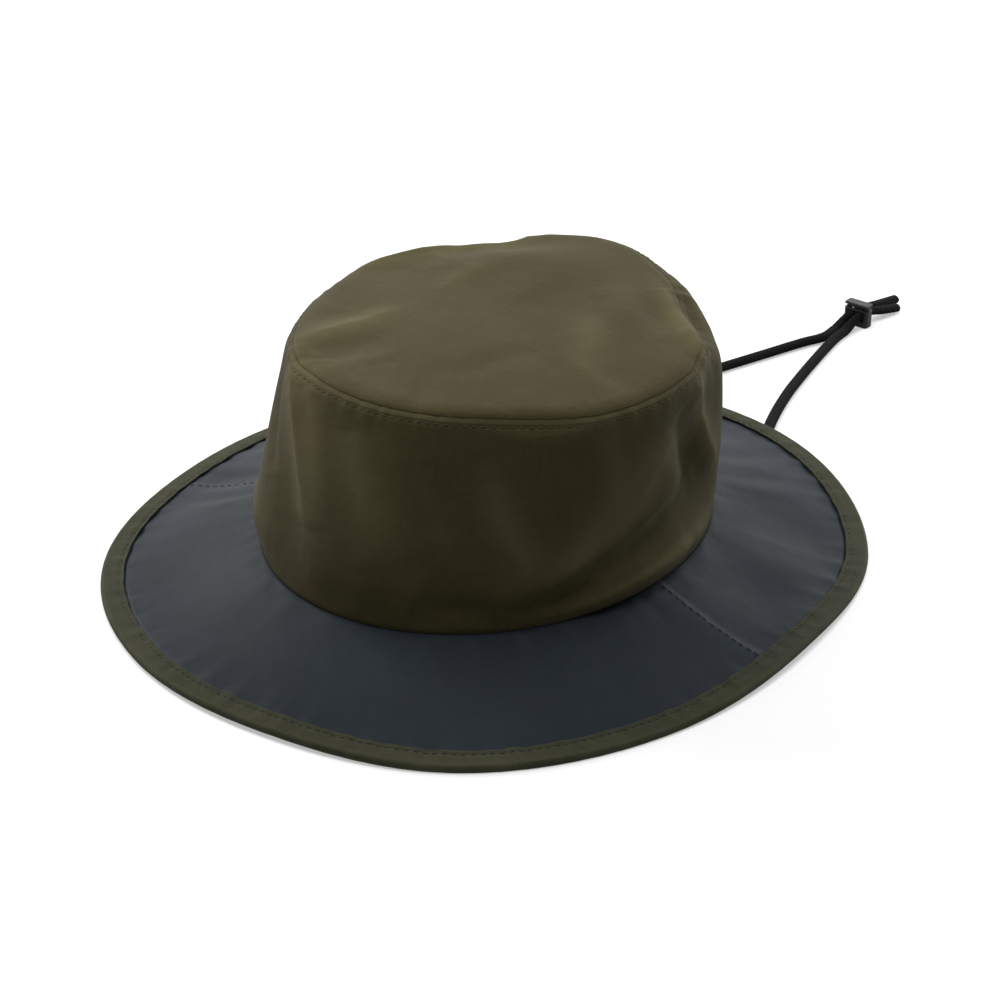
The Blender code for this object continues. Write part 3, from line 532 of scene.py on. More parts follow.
def ring_piece(name, rings, flats, material, wear_and_shade, middles=None):
    """A closed cloth solid through rings round the hat, which middles close at both ends where they are given."""
    rings, flats, wear_and_shade = np.asarray(rings), np.asarray(flats), np.asarray(wear_and_shade).ravel()
    rows, count = rings.shape[:2]
    faces, corners = ring_faces(rings, flats, middles is None)
    points = rings.reshape(-1, 3)
    for end, (ring, middle) in enumerate(zip((0, rows - 1), middles or ())):
        points = np.vstack([points, middle])
        wear_and_shade = np.append(wear_and_shade, 0.0)
        order = np.array([(np.arange(count) + 1) % count, np.arange(count)])
        pair = np.array([flats[ring, 1:], flats[ring, :-1]])
        if end:
            order, pair = order[::-1], pair[::-1]
        faces += np.stack([*(ring * count + order), np.full(count, len(points) - 1)], axis=-1).tolist()
        centre = np.broadcast_to(middle[:2], pair[0].shape)
        corners = np.vstack([corners, np.stack([*pair, centre], axis=1).reshape(-1, 2)])
    return new_piece(name, points, faces, corners, material, wear_and_shade)


def tube_faces(rings, flats):
    """The faces of a tube through rings of points, closed at both ends, and the flat coordinates of their corners."""
    rows, count = rings.shape[:2]
    faces, corners = ring_faces(rings, flats, False)
    faces += [list(range(count))[::-1], list(range((rows - 1) * count, rows * count))]
    return faces, np.vstack([corners, flats[0, :count][::-1], flats[-1, :count]])


def between_marks(places, marks, values, **period):
    """Rows of values at places between the marks where they are known."""
    return np.stack([np.interp(places, marks, values[:, axis], **period) for axis in range(values.shape[1])], axis=-1)


def lengths_along(line):
    """How far along a line each of its points is."""
    return np.concatenate([[0.0], np.cumsum(np.linalg.norm(np.diff(line, axis=0), axis=1))])


def closed_line(ring):
    return np.vstack([ring, ring[:1]])


ANGLES = np.arange(AROUND) * 360.0 / AROUND
SINES = np.sin(np.radians(ANGLES))
COSINES = np.cos(np.radians(ANGLES))
UPS = np.linspace(0.0, 2.0, CROWN_SAMPLES)  # places up the crown: brim 0, fold round the top 1, middle 2
ROUND = ANGLES / 360.0  # share of the way round


def oval(half_width, half_length):
    """Plan places round the hat, from the front over the wearer's left."""
    return np.stack([half_width * SINES, -half_length * COSINES], axis=-1)


FOOT_RING = oval(HEAD_HALF_WIDTH, HEAD_HALF_LENGTH)


def surface_normals(points):
    """Outward normals of a grid of points: angles round the hat by places up the crown."""
    around = np.roll(points, -1, axis=0) - np.roll(points, 1, axis=0)
    upward = np.gradient(points, axis=1)
    normals = unit(np.cross(around, upward))
    normals[:, -1] = (0.0, 0.0, 1.0)
    return normals


def line_distance(points, line):
    """Each point's distance from a line of points, and how far along the line it is, from 0 to 1."""
    best = np.full(points.shape[:-1], 1e9)
    along = np.zeros(points.shape[:-1])
    steps = len(line) - 1
    for step in range(steps):
        first, second = line[step], line[step + 1]
        run = second - first
        t = np.clip(((points - first) @ run) / (run @ run), 0.0, 1.0)
        distance = np.linalg.norm(points - first - t[..., None] * run, axis=-1)
        nearer = distance < best
        best = np.where(nearer, distance, best)
        along = np.where(nearer, (step + t) / steps, along)
    return best, along


def crease_heights(points):
    """How far the creases of the cloth lift or sink each point of the crown."""
    total = np.zeros(points.shape[:-1])
    for height, half_width, sharp, line in CREASES:
        thirds = np.arange(3 * len(line) - 2) / 3.0
        angles, ups = between_marks(thirds, np.arange(len(line)), np.array(line)).T
        columns = np.round(angles % 360.0 / 360.0 * AROUND).astype(int) % AROUND
        places = np.round(ups / 2.0 * (CROWN_SAMPLES - 1)).astype(int)
        distance, along = line_distance(points, points[columns, places])
        width = half_width * MM
        soft = bump(distance, width)
        tent = np.exp(-0.9 * (np.sqrt(distance ** 2 + (0.16 * width) ** 2) - 0.16 * width) / width)
        tent = tent * smooth_step((4.0 * width - distance) / (2.5 * width))
        fade = np.sin(np.clip(along, 0.02, 0.98) * math.pi) ** 0.6
        total += height * MM * fade * (soft * (1.0 - sharp) + tent * sharp)
    return total


def leaning_bump(angle, place, half_angle, half_up, lean):
    """A soft rise of the crown's whole surface round one place, 1 high, that leans some degrees per step up."""
    return bump(turn_between(ANGLES[:, None] - lean * (UPS - place), angle), half_angle) * bump(UPS - place, half_up)


def small_creases():
    """Small soft unevenness of the cloth."""
    chance = np.random.default_rng(31)
    total = np.zeros((AROUND, CROWN_SAMPLES))
    for _ in range(64):
        angle, up = chance.uniform(0.0, 360.0), chance.uniform(0.04, 1.25)
        lean = chance.normal(0.0, 26.0)
        half_angle, half_up = chance.uniform(1.8, 4.6), chance.uniform(0.07, 0.24)
        height = chance.normal(0.0, 0.36) * MM
        total += height * leaning_bump(angle, up, half_angle, half_up, lean)
    return total


def crown_grid():
    """The crown's outer surface with its folds, its normals, the length up each line, and each rounding's start."""
    size, height, rounding = (column_round(SHOULDER, column, ANGLES) for column in range(3))
    middle = np.array([SHOULDER_LEFTWARD, SHOULDER_BACKWARD, SHOULDER_HEIGHT])
    foot = np.column_stack([FOOT_RING, np.full(AROUND, SEAT_HEIGHT)])
    fold = np.column_stack([middle[:2] + oval(size * SHOULDER_HALF_WIDTH, size * SHOULDER_HALF_LENGTH),
                            height * SHOULDER_HEIGHT])
    radius = rounding * CORNER_SIZE
    corner_start = 1.0 - radius / np.linalg.norm(fold - foot, axis=-1)
    corner_end = 1.0 + radius / np.linalg.norm(middle - fold, axis=-1)

    def wall(up):
        return foot + (fold - foot) * up[:, None]

    def top(up):
        out = 2.0 - up
        line = fold + (middle - fold) * (1.0 - out)[:, None]
        line[:, 2] += DOME_RISE * (1.0 - out * out)
        return line

    points = np.empty((AROUND, CROWN_SAMPLES, 3))
    for place, value in enumerate(UPS):
        up = np.full(AROUND, value)
        t = np.clip((up - corner_start) / (corner_end - corner_start), 0.0, 1.0)[:, None]
        corner = (1.0 - t) ** 2 * wall(corner_start) + 2.0 * t * (1.0 - t) * fold + t * t * top(corner_end)
        points[:, place] = np.where((up < corner_start)[:, None], wall(up),
                                    np.where((up > corner_end)[:, None], top(up), corner))
    normals = surface_normals(points)
    depth = np.zeros((AROUND, CROWN_SAMPLES))
    for angle, place, half_angle, half_up, lean, share in CROWN_FOLDS:
        depth += share * leaning_bump(angle, place, half_angle, half_up, lean)
    middle_fade = smooth_step((2.0 - UPS) / FOLD_FADE_TOP)
    depth = depth * FOLD_DEPTH * smooth_step(UPS / FOLD_FADE) * middle_fade
    creases = crease_heights(points) + small_creases()
    depth += creases * smooth_step(UPS / 0.05) * middle_fade
    points = points + normals * depth[..., None]
    steps = np.linalg.norm(np.diff(points, axis=1), axis=-1)
    lengths = np.concatenate([np.zeros((AROUND, 1)), np.cumsum(steps, axis=1)], axis=1)
    start = np.array([np.interp(corner_start[i], UPS, lengths[i]) for i in range(AROUND)])
    worn = np.clip(creases / (1.8 * MM), 0.0, 1.0)
    return points, surface_normals(points), lengths, start, worn


CROWN, CROWN_NORMALS, CROWN_LENGTHS, ROUNDING_START, CROWN_WORN = crown_grid()
SEAM_LENGTHS = ROUNDING_START + column_round(SHOULDER, 3, ANGLES) * CORNER_SIZE
FULL_LENGTHS = CROWN_LENGTHS[:, -1]


def on_crown(lengths, lift=0.0):
    """Rings of points: lengths up the crown's line (rows by angles), lifted off its outside by some distance."""
    lengths = np.asarray(lengths)
    rings = np.empty((*lengths.shape, 3))
    outward = np.empty_like(rings)
    for i in range(AROUND):
        rings[:, i] = between_marks(lengths[:, i], CROWN_LENGTHS[i], CROWN[i])
        outward[:, i] = between_marks(lengths[:, i], CROWN_LENGTHS[i], CROWN_NORMALS[i])
    rings[..., 2] += np.minimum(lengths, 0.0)
    return rings + unit(outward) * np.broadcast_to(lift, lengths.shape)[..., None]


def worn_outside(lengths):
    """Wear of the crown's outside: on its creases and beside the seam round the top."""
    creased = np.stack([np.interp(lengths[:, i], CROWN_LENGTHS[i], CROWN_WORN[i]) for i in range(AROUND)], axis=-1)
    beside = np.exp(-((np.abs(lengths - SEAM_LENGTHS) - 1.6 * MM) / (1.0 * MM)) ** 2)
    return np.clip(creased + 0.2 * beside, 0.0, 1.0)


def seam_dip(from_seam):
    """How far the cloth sinks toward the seam round the top, and swells beside it."""
    swell = 0.06 * MM * np.exp(-((np.abs(from_seam) - 2.4 * MM) / (1.4 * MM)) ** 2)
    return swell - SEAM_DEPTH * np.exp(-(from_seam / SEAM_HALF_WIDTH) ** 2)


def stitch_dip(from_line, along, seed):
    """Cloth pulled in along a row of stitches, with small uneven gathers beside it."""
    pulled = -0.22 * MM * np.exp(-(from_line / (0.8 * MM)) ** 2)
    gathers = 0.20 * MM * waves(along, seed, 14.0 * MM, 4) * np.exp(-(np.abs(from_line) / (6.0 * MM)) ** 1.5)
    return pulled + gathers


SEAM_AROUND = ROUND * 0.56  # metres round the crown at its seam, for the gathers


def flat_round(lengths):
    """Flat coordinates of rings on the side: round the hat and up it, with the last column meeting the first."""
    round_to = np.append(ROUND, 1.0) * math.pi * (HEAD_HALF_WIDTH + HEAD_HALF_LENGTH)
    up = np.concatenate([lengths, lengths[:, :1]], axis=1)
    return np.stack([np.broadcast_to(round_to, up.shape), up], axis=-1)


def flat_plan(rings):
    """Flat coordinates of rings of a piece that was cut flat: their places as seen from above."""
    plan = rings[..., :2]
    return np.concatenate([plan, plan[:, :1]], axis=1)


def build_crown_side(cloth):
    """The side of the crown: one cloth from the brim up to the seam round the top."""
    shares = np.concatenate([np.linspace(0.0, 0.9, 84)[:-1], np.linspace(0.9, 1.0, 30)])
    top = SEAM_LENGTHS - 0.04 * MM
    lengths = -CROWN_SKIRT + (top + CROWN_SKIRT)[None, :] * shares[:, None]
    from_seam = lengths - SEAM_LENGTHS
    lift = seam_dip(from_seam) + stitch_dip(from_seam + TOPSTITCH_FROM_SEAM, SEAM_AROUND, 5)
    lift += -0.4 * MM * smooth_step((1.4 * MM - lengths) / (2.4 * MM))  # turned in where it meets the brim
    outside = on_crown(lengths, lift)
    inner_rows = lengths[::-3]
    inside = on_crown(inner_rows, seam_dip(inner_rows - SEAM_LENGTHS) - CROWN_CLOTH)
    worn = np.concatenate([worn_outside(lengths), np.zeros_like(inner_rows)])
    piece = ring_piece("crown_side_cloth", np.concatenate([outside, inside]),
                       flat_round(np.concatenate([lengths, inner_rows])), cloth, worn)
    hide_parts("crown_side")


def build_crown_tip(cloth):
    """The tip of the crown: one cut of cloth, its edge turned down inside the side."""
    start = SEAM_LENGTHS + 0.04 * MM
    shares = np.concatenate([np.linspace(0.0, 0.16, 26)[:-1], np.linspace(0.16, 0.985, 74)])
    lengths = start + (FULL_LENGTHS - start)[None, :] * shares[:, None]
    outside = on_crown(lengths, seam_dip(lengths - SEAM_LENGTHS))[::-1]
    inset = CROWN_CLOTH + 0.3 * MM
    hem = SEAM_LENGTHS - np.linspace(0.0, 1.0, 8)[:, None] * SEWING_EDGE
    fray = 0.35 * MM * waves(SEAM_AROUND, 11, 12.0 * MM)
    hem_out = on_crown(hem, -inset + fray)
    hem_in = on_crown(hem[::-1], -inset - 0.9 * MM + fray)
    inner_rows = lengths[::3]
    inside = on_crown(inner_rows, seam_dip(inner_rows - SEAM_LENGTHS) - CROWN_CLOTH)
    rings = np.concatenate([outside, hem_out, hem_in, inside])
    worn = np.concatenate([worn_outside(lengths)[::-1], np.zeros((len(rings) - len(outside), AROUND))])
    middle = CROWN[0, -1]
    piece = ring_piece("crown_tip_cloth", rings, flat_plan(rings), cloth, worn,
                       (middle, middle - np.array([0.0, 0.0, CROWN_CLOTH])))
    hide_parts("crown_tip")


EDGE_WIDTHS = column_round(BRIM_EDGE, 0, ANGLES) * BRIM_WIDTH
EDGE_RING = oval(HEAD_HALF_WIDTH + EDGE_WIDTHS, HEAD_HALF_LENGTH + EDGE_WIDTHS)
EDGE_RUNS = np.linalg.norm(EDGE_RING - FOOT_RING, axis=-1)
EDGE_HEIGHTS = BINDING_HALF - BINDING_SETTLE + np.maximum(column_round(BRIM_EDGE, 1, ANGLES), 0.0) * EDGE_RISE
SEAT_MIDDLE = SEAT_HEIGHT - SEAT_GAP - BRIM_CLOTH / 2.0
EDGE_AROUND = lengths_along(closed_line(EDGE_RING))


def brim_middle(out):
    """Plan places and heights of the middle of the brim's cloth, some distance out from the crown's foot."""
    out = np.broadcast_to(out, (AROUND,))
    across = np.clip(out / EDGE_RUNS, 0.0, 1.0)
    plan = FOOT_RING + (EDGE_RING - FOOT_RING) * (out / EDGE_RUNS)[:, None]
    middle = EDGE_HEIGHTS + (SEAT_MIDDLE - EDGE_HEIGHTS) * (1.0 - across) ** BRIM_SLOPE_POWER
    fade = smooth_step(across / RIPPLE_FADE) * smooth_step((EDGE_RUNS - out - BINDING_WIDTH) / RIPPLE_FADE_EDGE)
    for angle, place, half_angle, half_across, height in BRIM_WAVES:
        wave = bump(turn_between(ANGLES, angle), half_angle) * bump(across - place, half_across)
        middle = middle + height * MM * wave * fade
    return plan, middle, across


def brim_relief(across, out):
    """What the brim's seams, sewing and softness add to its top face."""
    relief = np.zeros(AROUND)
    inside = EDGE_RUNS - BINDING_WIDTH - out
    edge_fade = smooth_step(inside / (2.0 * MM))
    radius = np.linalg.norm(FOOT_RING, axis=-1) + out
    for number, seam in enumerate(BRIM_SEAM_ANGLES):
        sideways = np.radians(turn_between(ANGLES, seam)) * radius * (1.0 if seam > 0 else -1.0)
        lap = smooth_step(0.5 - sideways / (0.9 * MM)) * smooth_step((sideways + 14.0 * MM) / (12.0 * MM))
        pucker = (0.10 * MM * waves(np.asarray(out), 61 + number, 8.0 * MM)
                  * np.exp(-(np.abs(sideways) / (6.0 * MM)) ** 1.4))
        relief += (BRIM_SEAM_STEP * lap + pucker) * edge_fade
    beside = 0.30 * MM * waves(EDGE_AROUND[:-1], 17, 26.0 * MM, 4) * np.exp(-np.maximum(inside, 0.0) / (7.0 * MM))
    foot = 0.30 * MM * waves(EDGE_AROUND[:-1], 23, 40.0 * MM, 4) * np.exp(-np.maximum(out, 0.0) / (8.0 * MM))
    return relief + (beside + foot) * smooth_step(out / (3.0 * MM))


def build_brim(cloth):
    """The brim: two panels of navy cloth on a soft core, one closed sheet from the crown to inside the binding."""
    inner = -1.6 * MM
    shares = np.concatenate([[0.0, 0.012], np.linspace(0.024, 0.84, 66), np.linspace(0.85, 0.965, 12)])
    upper, lower, worn = [], [], []
    for share in shares:
        out = inner + (EDGE_RUNS - inner) * share
        plan, middle, across = brim_middle(out)
        tucked = smooth_step((out - (EDGE_RUNS - BINDING_WIDTH - 1.2 * MM)) / (0.9 * MM))
        half = (BRIM_CLOTH + (BRIM_EDGE_CLOTH - BRIM_CLOTH) * tucked) / 2.0
        relief = brim_relief(across, out)
        upper.append(np.column_stack([plan, middle + half + relief]))
        lower.append(np.column_stack([plan, middle - half + 0.4 * relief]))
        worn.append(np.clip(relief / (0.9 * MM), 0.0, 0.6))
    lower, worn = lower[::-2], worn + [np.zeros(AROUND)] * len(lower[::-2])
    rings = np.array(upper + lower)
    piece = ring_piece("brim_cloth", rings, flat_plan(rings), cloth, worn)
    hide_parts("brim")


def binding_ring(inward, height):
    """One ring of the tape: a distance in from the brim's edge, and a height from the middle of the brim's cloth."""
    plan, middle, _ = brim_middle(EDGE_RUNS - inward)
    return np.column_stack([plan, np.maximum(middle + height, 0.0)])


def tape_relief(from_stitch):
    """How the tape's top face is pulled in at its stitches, and its small puckers."""
    along = EDGE_AROUND[:-1]
    return stitch_dip(np.full(AROUND, from_stitch), along, 41) * 1.3, 0.14 * MM * waves(along, 43, 20.0 * MM, 4)


def build_binding(tape):
    """The tape folded round the brim's edge, stitched down near its inner edge, flat where the hat rests on it."""
    inner = BINDING_HALF - BINDING_CLOTH
    edge = EDGE_AROUND[:-1]
    fold = BINDING_FOLD
    # rings across the tape: inward, height, flat place, and how much it shows on top
    section = [(inward, BINDING_HALF, inward, 1.0)
               for inward in BINDING_WIDTH + (fold - BINDING_WIDTH) * np.linspace(0.0, 1.0, 22)]
    for turn in np.radians(np.linspace(75.0, -75.0, 11)):
        section.append((fold * (1.0 - math.cos(turn)), BINDING_HALF * math.sin(turn), fold * math.sin(turn), 0.6))
    section += [(inward, -BINDING_HALF, -inward, 0.0)
                for inward in fold + (BINDING_WIDTH - fold) * np.linspace(0.0, 1.0, 10)]
    for inward, height in ((BINDING_WIDTH, -inner), (5.0 * MM, -inner), (1.2 * MM, -inner), (0.9 * MM, 0.0),
                           (1.2 * MM, inner), (5.0 * MM, inner), (BINDING_WIDTH, inner)):
        section.append((inward, height, inward, 0.0))
    ragged = 0.18 * MM * waves(edge, 47, 28.0 * MM, 4)
    rubbed = 0.7 + 0.3 * waves(edge, 3, 0.05)
    rings, flats, worn = [], [], []
    for inward, height, across, shows in section:
        pulled, puckers = tape_relief(inward - BINDING_STITCH_IN)
        lift = (pulled + puckers * smooth_step((inward - 1.0 * MM) / (3.0 * MM))) * shows
        rings.append(binding_ring(inward + (ragged if inward == BINDING_WIDTH else 0.0), height + lift))
        flats.append(np.stack([EDGE_AROUND, np.full(AROUND + 1, across)], axis=-1))
        worn.append(0.75 * math.exp(-(inward / (1.2 * MM)) ** 2) * rubbed)
    piece = ring_piece("binding_tape", rings, flats, tape, np.clip(worn, 0.0, 1.0))
    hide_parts("brim_binding")


def build_stitches(name, line, outward, thread, sink=0.0):
    """A row of stitches along a closed or open line: each a short loop of thread that dips into the cloth."""
    along = lengths_along(line)
    count = int(along[-1] / (STITCH_LENGTH + STITCH_GAP))
    chance = np.random.default_rng(7 + count)
    turns = (np.arange(STITCH_SIDES) * 2.0 * math.pi / STITCH_SIDES)[:, None]
    share = np.arange(STITCH_PARTS + 1) / STITCH_PARTS
    arch = np.sin(math.pi * share)
    lift = THREAD_RADIUS * 0.7 * arch ** 0.5 - sink - (1.0 - arch) * 0.25 * MM
    radius = THREAD_RADIUS * (0.75 + 0.25 * arch)
    rings = []
    for number in range(count):
        start = number * along[-1] / count + chance.normal(0.0, 0.08) * MM
        places = start + STITCH_LENGTH * (1.0 + chance.normal(0.0, 0.05)) * share
        behind, middle, ahead = (between_marks(places + step, along, line) for step in (-0.2 * MM, 0.0, 0.2 * MM))
        forward = unit(ahead - behind)
        side = unit(np.cross(forward, between_marks(places, along, outward)))
        normal = np.cross(side, forward)
        middle = middle + normal * lift[:, None]
        across = side[:, None] * np.cos(turns) + normal[:, None] * np.sin(turns) * 0.85
        rings.append(middle[:, None] + across * radius[:, None, None])
    flats = np.stack(np.meshgrid(np.arange(STITCH_SIDES + 1.0), np.arange(STITCH_PARTS + 1.0)), axis=-1)
    one, corners = tube_faces(rings[0], flats)
    faces = [[number * rings[0][..., 0].size + corner for corner in face] for number in range(count) for face in one]
    return new_piece(name, np.reshape(rings, (-1, 3)), faces, np.tile(corners, (count, 1)), thread)


def build_sewing(olive_thread, dark_thread, navy_thread):
    """Stitches beside the seam round the top, along the tape, and across the brim's two seams."""
    place = (SEAM_LENGTHS - TOPSTITCH_FROM_SEAM)[None, :]
    lift = seam_dip(place - SEAM_LENGTHS) + stitch_dip(np.zeros(AROUND), SEAM_AROUND, 5)
    ring = on_crown(place, lift)[0]
    outward = unit(on_crown(place, lift + MM)[0] - ring)
    row = build_stitches("crown_topstitch", closed_line(ring), closed_line(outward), olive_thread)
    for name, side, lift, sink in (("binding_stitches", 1.0, sum(tape_relief(0.0)), 0.0),
                                   ("binding_stitches_under", -1.0, 0.0, STITCH_PRESSED)):
        line = closed_line(binding_ring(BINDING_STITCH_IN, side * BINDING_HALF + lift))
        row = build_stitches(name, line, np.tile((0.0, 0.0, side), (len(line), 1)), dark_thread, sink)
    for number, seam in enumerate(BRIM_SEAM_ANGLES):
        line = []
        for share in np.linspace(0.03, 0.845, 60):
            out = EDGE_RUNS * share
            plan, middle, across = brim_middle(out)
            height = middle + BRIM_CLOTH / 2.0 + brim_relief(across, out)
            radius = np.linalg.norm(FOOT_RING, axis=-1) + out
            offset = math.degrees(-1.6 * MM / np.interp(seam % 360.0, ANGLES, radius)) * (1.0 if seam > 0 else -1.0)
            line.append(between_marks((seam + offset) % 360.0, ANGLES, np.column_stack([plan, height])))
        line = np.array(line)
        row = build_stitches(f"brim_seam_stitches_{number + 1}", line, np.tile((0.0, 0.0, 1.0), (len(line), 1)),
                             navy_thread)


def smooth_curve(route):
    """A fine smooth curve through a route's points, straight in its first stretch, and never below where it lies."""
    route = np.array(route)
    gaps = np.sqrt(np.linalg.norm(np.diff(route, axis=0), axis=1))
    slopes = np.empty_like(route)
    slopes[1:-1] = (((route[1:-1] - route[:-2]) / gaps[:-1, None] * gaps[1:, None]
                     + (route[2:] - route[1:-1]) / gaps[1:, None] * gaps[:-1, None])
                    / (gaps[:-1] + gaps[1:])[:, None])
    slopes[0] = (route[1] - route[0]) / gaps[0]
    slopes[-1] = (route[-1] - route[-2]) / gaps[-1]
    fine = []
    for i, gap in enumerate(gaps):
        t = np.linspace(0.0, 1.0, 60, endpoint=False)[:, None]
        fine.append((2 * t ** 3 - 3 * t ** 2 + 1) * route[i] + (t ** 3 - 2 * t ** 2 + t) * gap * slopes[i]
                    + (3 * t ** 2 - 2 * t ** 3) * route[i + 1] + (t ** 3 - t ** 2) * gap * slopes[i + 1])
    fine = np.concatenate(fine + [route[-1:]])
    fine[:, 2] = np.maximum(fine[:, 2], CORD_LIE)
    return fine


def braid_height(turns, places):
    """Height of a braid's strands from about 0.4 to 1: half wind each way, each over two and under two."""
    each_way = BRAID_STRANDS / 2
    first = each_way * turns / (2.0 * math.pi) + places / BRAID_CELL
    second = each_way * turns / (2.0 * math.pi) - places / BRAID_CELL
    first_near, second_near = np.round(first), np.round(second)
    step = np.mod(first_near + second_near, 4.0)
    on_top = step < 2.0
    across = np.where(on_top, first - first_near, second - second_near)
    along = np.where(on_top, step + second - second_near, step - 2.0 + first - first_near)
    return np.sqrt(1.0 - 3.0 * across ** 2) * (0.74 + 0.26 * np.cos(math.pi * (along - 0.5) / 2.0))


def build_cord(name, route, braid):
    """A braided cord: a tube with its strands' relief, flatter where it lies free and round where it is held."""
    fine = smooth_curve(route)
    along = lengths_along(fine)
    length = along[-1]
    places = np.linspace(0.0, length, int(length / BRAID_STEP))
    centre = between_marks(places, along, fine)
    forward = unit(np.gradient(centre, axis=0))
    side = unit(np.cross(forward, np.array([0.0, 0.0, 1.0])) + 1e-6)
    for i in range(1, len(side)):  # steady where the cord hangs straight down
        if side[i] @ side[i - 1] < 0.9:
            side[i] = unit(side[i - 1] - forward[i] * (side[i - 1] @ forward[i]))
    rise = np.cross(side, forward)
    lock_from, lock_to = (np.interp(route[k][1], fine[:, 1], along) for k in (-4, -3))
    held = np.maximum(smooth_step((places - lock_from + 9.0 * MM) / (7.0 * MM))
                      * smooth_step((lock_to + 9.0 * MM - places) / (7.0 * MM)),
                      smooth_step((24.0 * MM - places) / (10.0 * MM)))
    half_width = (CORD_WIDTH + (CORD_CORE - CORD_WIDTH) * held) / 2.0
    half_height = (CORD_HEIGHT + (CORD_CORE - CORD_HEIGHT) * held) / 2.0
    turns = np.arange(CORD_SIDES + 1) * 2.0 * math.pi / CORD_SIDES
    flats = np.stack(np.meshgrid(turns * CORD_WIDTH / 2.0, places), axis=-1)
    turns = turns[:-1]
    strand = braid_height(turns[None, :], places[:, None])
    relief = BRAID_RELIEF * (strand - 1.0)
    from_end = np.clip(np.minimum(places, length - places) / (1.6 * MM), 0.0, 1.0)
    taper = np.maximum(np.sqrt(from_end * (2.0 - from_end)), 0.05)[:, None]
    across = (half_width[:, None] * taper + relief) * np.cos(turns)
    upward = (half_height[:, None] * taper + relief) * np.sin(turns)
    points = centre[:, None, :] + side[:, None, :] * across[..., None] + rise[:, None, :] * upward[..., None]
    points[..., 2] -= np.maximum((CORD_LIE - half_height) * (1.0 - held) - 0.05 * MM, 0.0)[:, None]
    faces, corners = tube_faces(points, flats)
    # The value per point is the strands' height, which the braid's material paints as shade in the grooves.
    piece = new_piece(name + "_braid", points.reshape(-1, 3), faces, corners, braid,
                      np.clip(2.0 * strand - 1.0, 0.0, 1.0))
    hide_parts(name)
    return piece, centre, length


def build_cords(braid):
    for name, route in CORD_ROUTES.items():
        piece, centre, length = build_cord(name, route, braid)


def thick_sheet(name, upper, lower, flats, material):
    """A closed piece between two grids of points, rows by columns."""
    rows, count = upper.shape[:2]
    ids = np.arange(rows * count).reshape(rows, count)
    cells = np.stack([ids[:-1, :-1], ids[:-1, 1:], ids[1:, 1:], ids[1:, :-1]], axis=-1).reshape(-1, 4)
    border = np.concatenate([ids[0, :-1], ids[:-1, -1], ids[-1, :0:-1], ids[:0:-1, 0]])
    after = np.roll(border, -1)
    edges = np.stack([after, border, border + rows * count, after + rows * count], axis=-1)
    faces = np.concatenate([cells, cells[:, ::-1] + rows * count, edges])
    both = np.concatenate([flats.reshape(-1, 2)] * 2)
    return new_piece(name, np.concatenate([upper.reshape(-1, 3), lower.reshape(-1, 3)]), faces.tolist(),
                     both[faces.ravel()], material)


def tab_section():
    """Middle line of a tab's cloth as seen along the cord: along the crown's wall, and inward from its outside."""
    seat = CROWN_CLOTH + TAB_CLOTH / 2.0 + 0.05 * MM
    loop = (CORD_CORE + TAB_CLOTH) / 2.0 + 0.2 * MM
    turns = np.radians(np.linspace(180.0, 0.0, 31))
    line = np.array([(-TAB_HALF_WIDTH, seat), (-loop - TAB_BEND, seat)]
                    + [(loop * math.cos(turn), CORD_SEAT + loop * math.sin(turn)) for turn in turns]
                    + [(loop + TAB_BEND, seat), (TAB_HALF_WIDTH, seat)])
    along = lengths_along(line)
    places = np.linspace(0.0, along[-1], 130)
    line = between_marks(places, along, line)
    for _ in range(8):  # the cloth rounds every bend
        line[1:-1] = (line[:-2] + 2.0 * line[1:-1] + line[2:]) / 4.0
    return line, places


def build_tab(side, cloth, thread):
    """A stitched cloth tab inside the crown: a loop round the cord's end, sewn flat to the wall on both sides."""
    angle = TAB_ANGLES[side] % 360.0
    line, places = tab_section()
    across = unit(np.gradient(line, axis=0))
    across = np.stack([-across[:, 1], across[:, 0]], axis=-1)
    route = np.array(CORD_ROUTES["chin_cord_" + side][:2])
    fray = 0.10 * MM * waves(places, 71, 3.0 * MM)
    upper, lower = [], []
    shares = np.linspace(0.0, 1.0, 24)
    for share in shares:
        lengths = np.full((1, AROUND), TAB_FOOT + TAB_LENGTH * share)
        wall = on_crown(lengths)[0]
        outward = unit(on_crown(lengths, MM)[0] - wall)
        middle = between_marks(angle, ANGLES, wall, period=360.0)
        facing = unit(between_marks(angle, ANGLES, outward, period=360.0))
        cord = route[1] + (route[0] - route[1]) * (TAB_FOOT + TAB_LENGTH * share) / (route[0][2] - route[1][2])
        reach = (middle - cord) @ facing / CORD_SEAT
        for grid, half in ((upper, TAB_CLOTH / 2.0), (lower, -TAB_CLOTH / 2.0)):
            shape = line + across * half
            here = angle + np.degrees(shape[:, 0] / np.linalg.norm(middle[:2]))
            inward = line[:, 1] * (1.0 + (reach - 1.0) * smooth_step((line[:, 1] - 2.0 * MM) / (2.0 * MM)))
            inward = inward + shape[:, 1] - line[:, 1]
            point = between_marks(here, ANGLES, wall, period=360.0) - facing * inward[:, None]
            point[:, 2] += fray * (2.0 * share - 1.0)
            grid.append(point)
    upper, lower = np.array(upper), np.array(lower)
    flats = np.stack(np.broadcast_arrays(places[None, :], (TAB_LENGTH * shares)[:, None]), axis=-1)
    piece = thick_sheet("cord_tab_" + side + "_cloth", upper, lower, flats, cloth)
    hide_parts("cord_tab_" + side)
    for number, place in enumerate((1.3 * MM, places[-1] - 1.3 * MM, 3.9 * MM, places[-1] - 3.9 * MM)):
        column = int(round(place / places[-1] * (len(places) - 1)))
        row = build_stitches(f"cord_tab_{side}_stitches_{number + 1}", upper[:, column],
                             unit(upper[:, column] - lower[:, column]), thread)


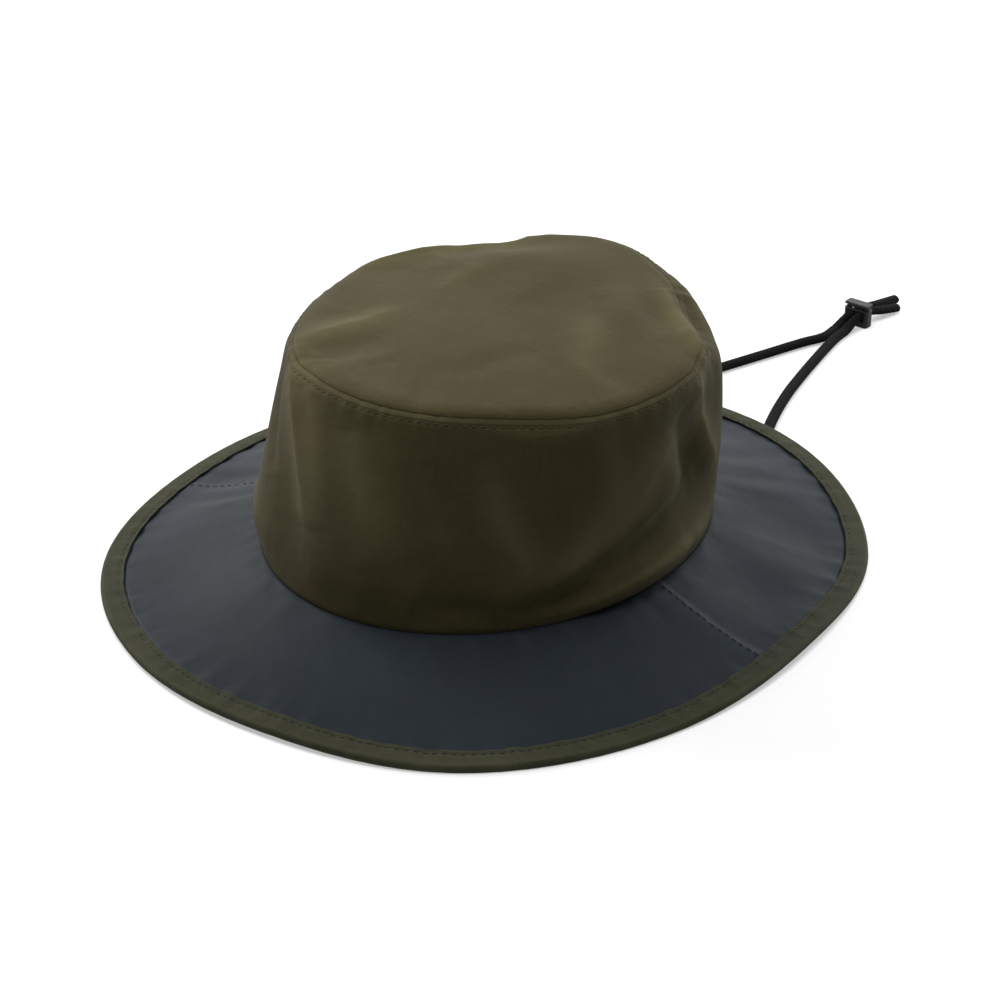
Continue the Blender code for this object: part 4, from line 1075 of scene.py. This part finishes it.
def build_studio():
    """A pale floor, a soft key from above and behind on the wearer's right, and weak fills."""
    mesh = bpy.data.meshes.new("floor")
    mesh.from_pydata([(x * FLOOR_HALF, y * FLOOR_HALF, 0.0) for x, y in ((-1, -1), (1, -1), (1, 1), (-1, 1))], [],
                     [(0, 1, 2, 3)])
    mesh.materials.append(floor_material())
    floor = bpy.data.objects.new("floor", mesh)
    bpy.context.scene.collection.objects.link(floor)
    for name, place, aim, size, power, colour in LIGHTS:
        light = bpy.data.lights.new(name, "AREA")
        light.shape = "RECTANGLE"
        light.size, light.size_y = size
        light.energy = power
        light.color = colour
        lamp = bpy.data.objects.new(name, light)
        bpy.context.scene.collection.objects.link(lamp)
        lamp.location = place
        lamp.visible_camera = False
        lamp.rotation_euler = (Vector((0.0, 0.0, aim)) - Vector(place)).to_track_quat("-Z", "Y").to_euler()
    world = bpy.data.worlds.new("studio")
    bpy.context.scene.world = world
    world.use_nodes = True
    sky = world.node_tree.nodes["Background"].inputs
    sky["Color"].default_value = (1.0, 1.0, 1.0, 1.0)
    sky["Strength"].default_value = 0.10
    bpy.context.scene.view_settings.view_transform = "Standard"


make_camera()
build_cords(braid_material("cord_braid"))
OLIVE_THREAD = thread_material("thread_olive", THREAD_OLIVE, OLIVE_DARK_AND_SHADE)
CROWN_OLIVE = cloth_material("crown_cloth", OLIVE, OLIVE_DARK_AND_SHADE, 0.42 * MM, 0.85, 0.03, shine=0.09)
build_crown_side(CROWN_OLIVE)
build_crown_tip(CROWN_OLIVE)
TAB_TAPE = cloth_material("tab_tape", OLIVE, OLIVE_DARK_AND_SHADE, 0.36 * MM, 0.85, 0.0, weave="twill", shine=0.09)
for tab_side in TAB_ANGLES:
    build_tab(tab_side, TAB_TAPE, OLIVE_THREAD)
build_brim(cloth_material("brim_cloth", NAVY, NAVY_DARK_AND_SHADE, 0.34 * MM, 0.52, 0.02, slub=0.35, relief=0.03, worn=0.25,
                          shine=0.05, crumple=0.25, uneven=0.04))
build_binding(cloth_material("binding_tape", TAPE, TAPE_DARK_AND_SHADE, 0.55 * MM, 0.80, 0.0, weave="twill", worn=0.45,
                             shine=0.10))
# Each thread's darker colour holds the painted shade of its twist.
build_sewing(OLIVE_THREAD, thread_material("thread_dark", THREAD_DARK, (0.005, 0.005, 0.006)),
             thread_material("thread_navy", THREAD_NAVY, THREAD_NAVY_DARK_AND_SHADE))
for node, colour in (("cord_lock_body", (0.0065, 0.0065, 0.0068)), ("cord_lock_button", (0.0085, 0.0085, 0.0085))):
    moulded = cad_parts[node].data
    moulded.shade_smooth()
    moulded.set_sharp_from_angle(angle=math.radians(32.0))
    moulded.materials.clear()
    moulded.materials.append(moulded_material(node + "_plastic", colour))
build_studio()
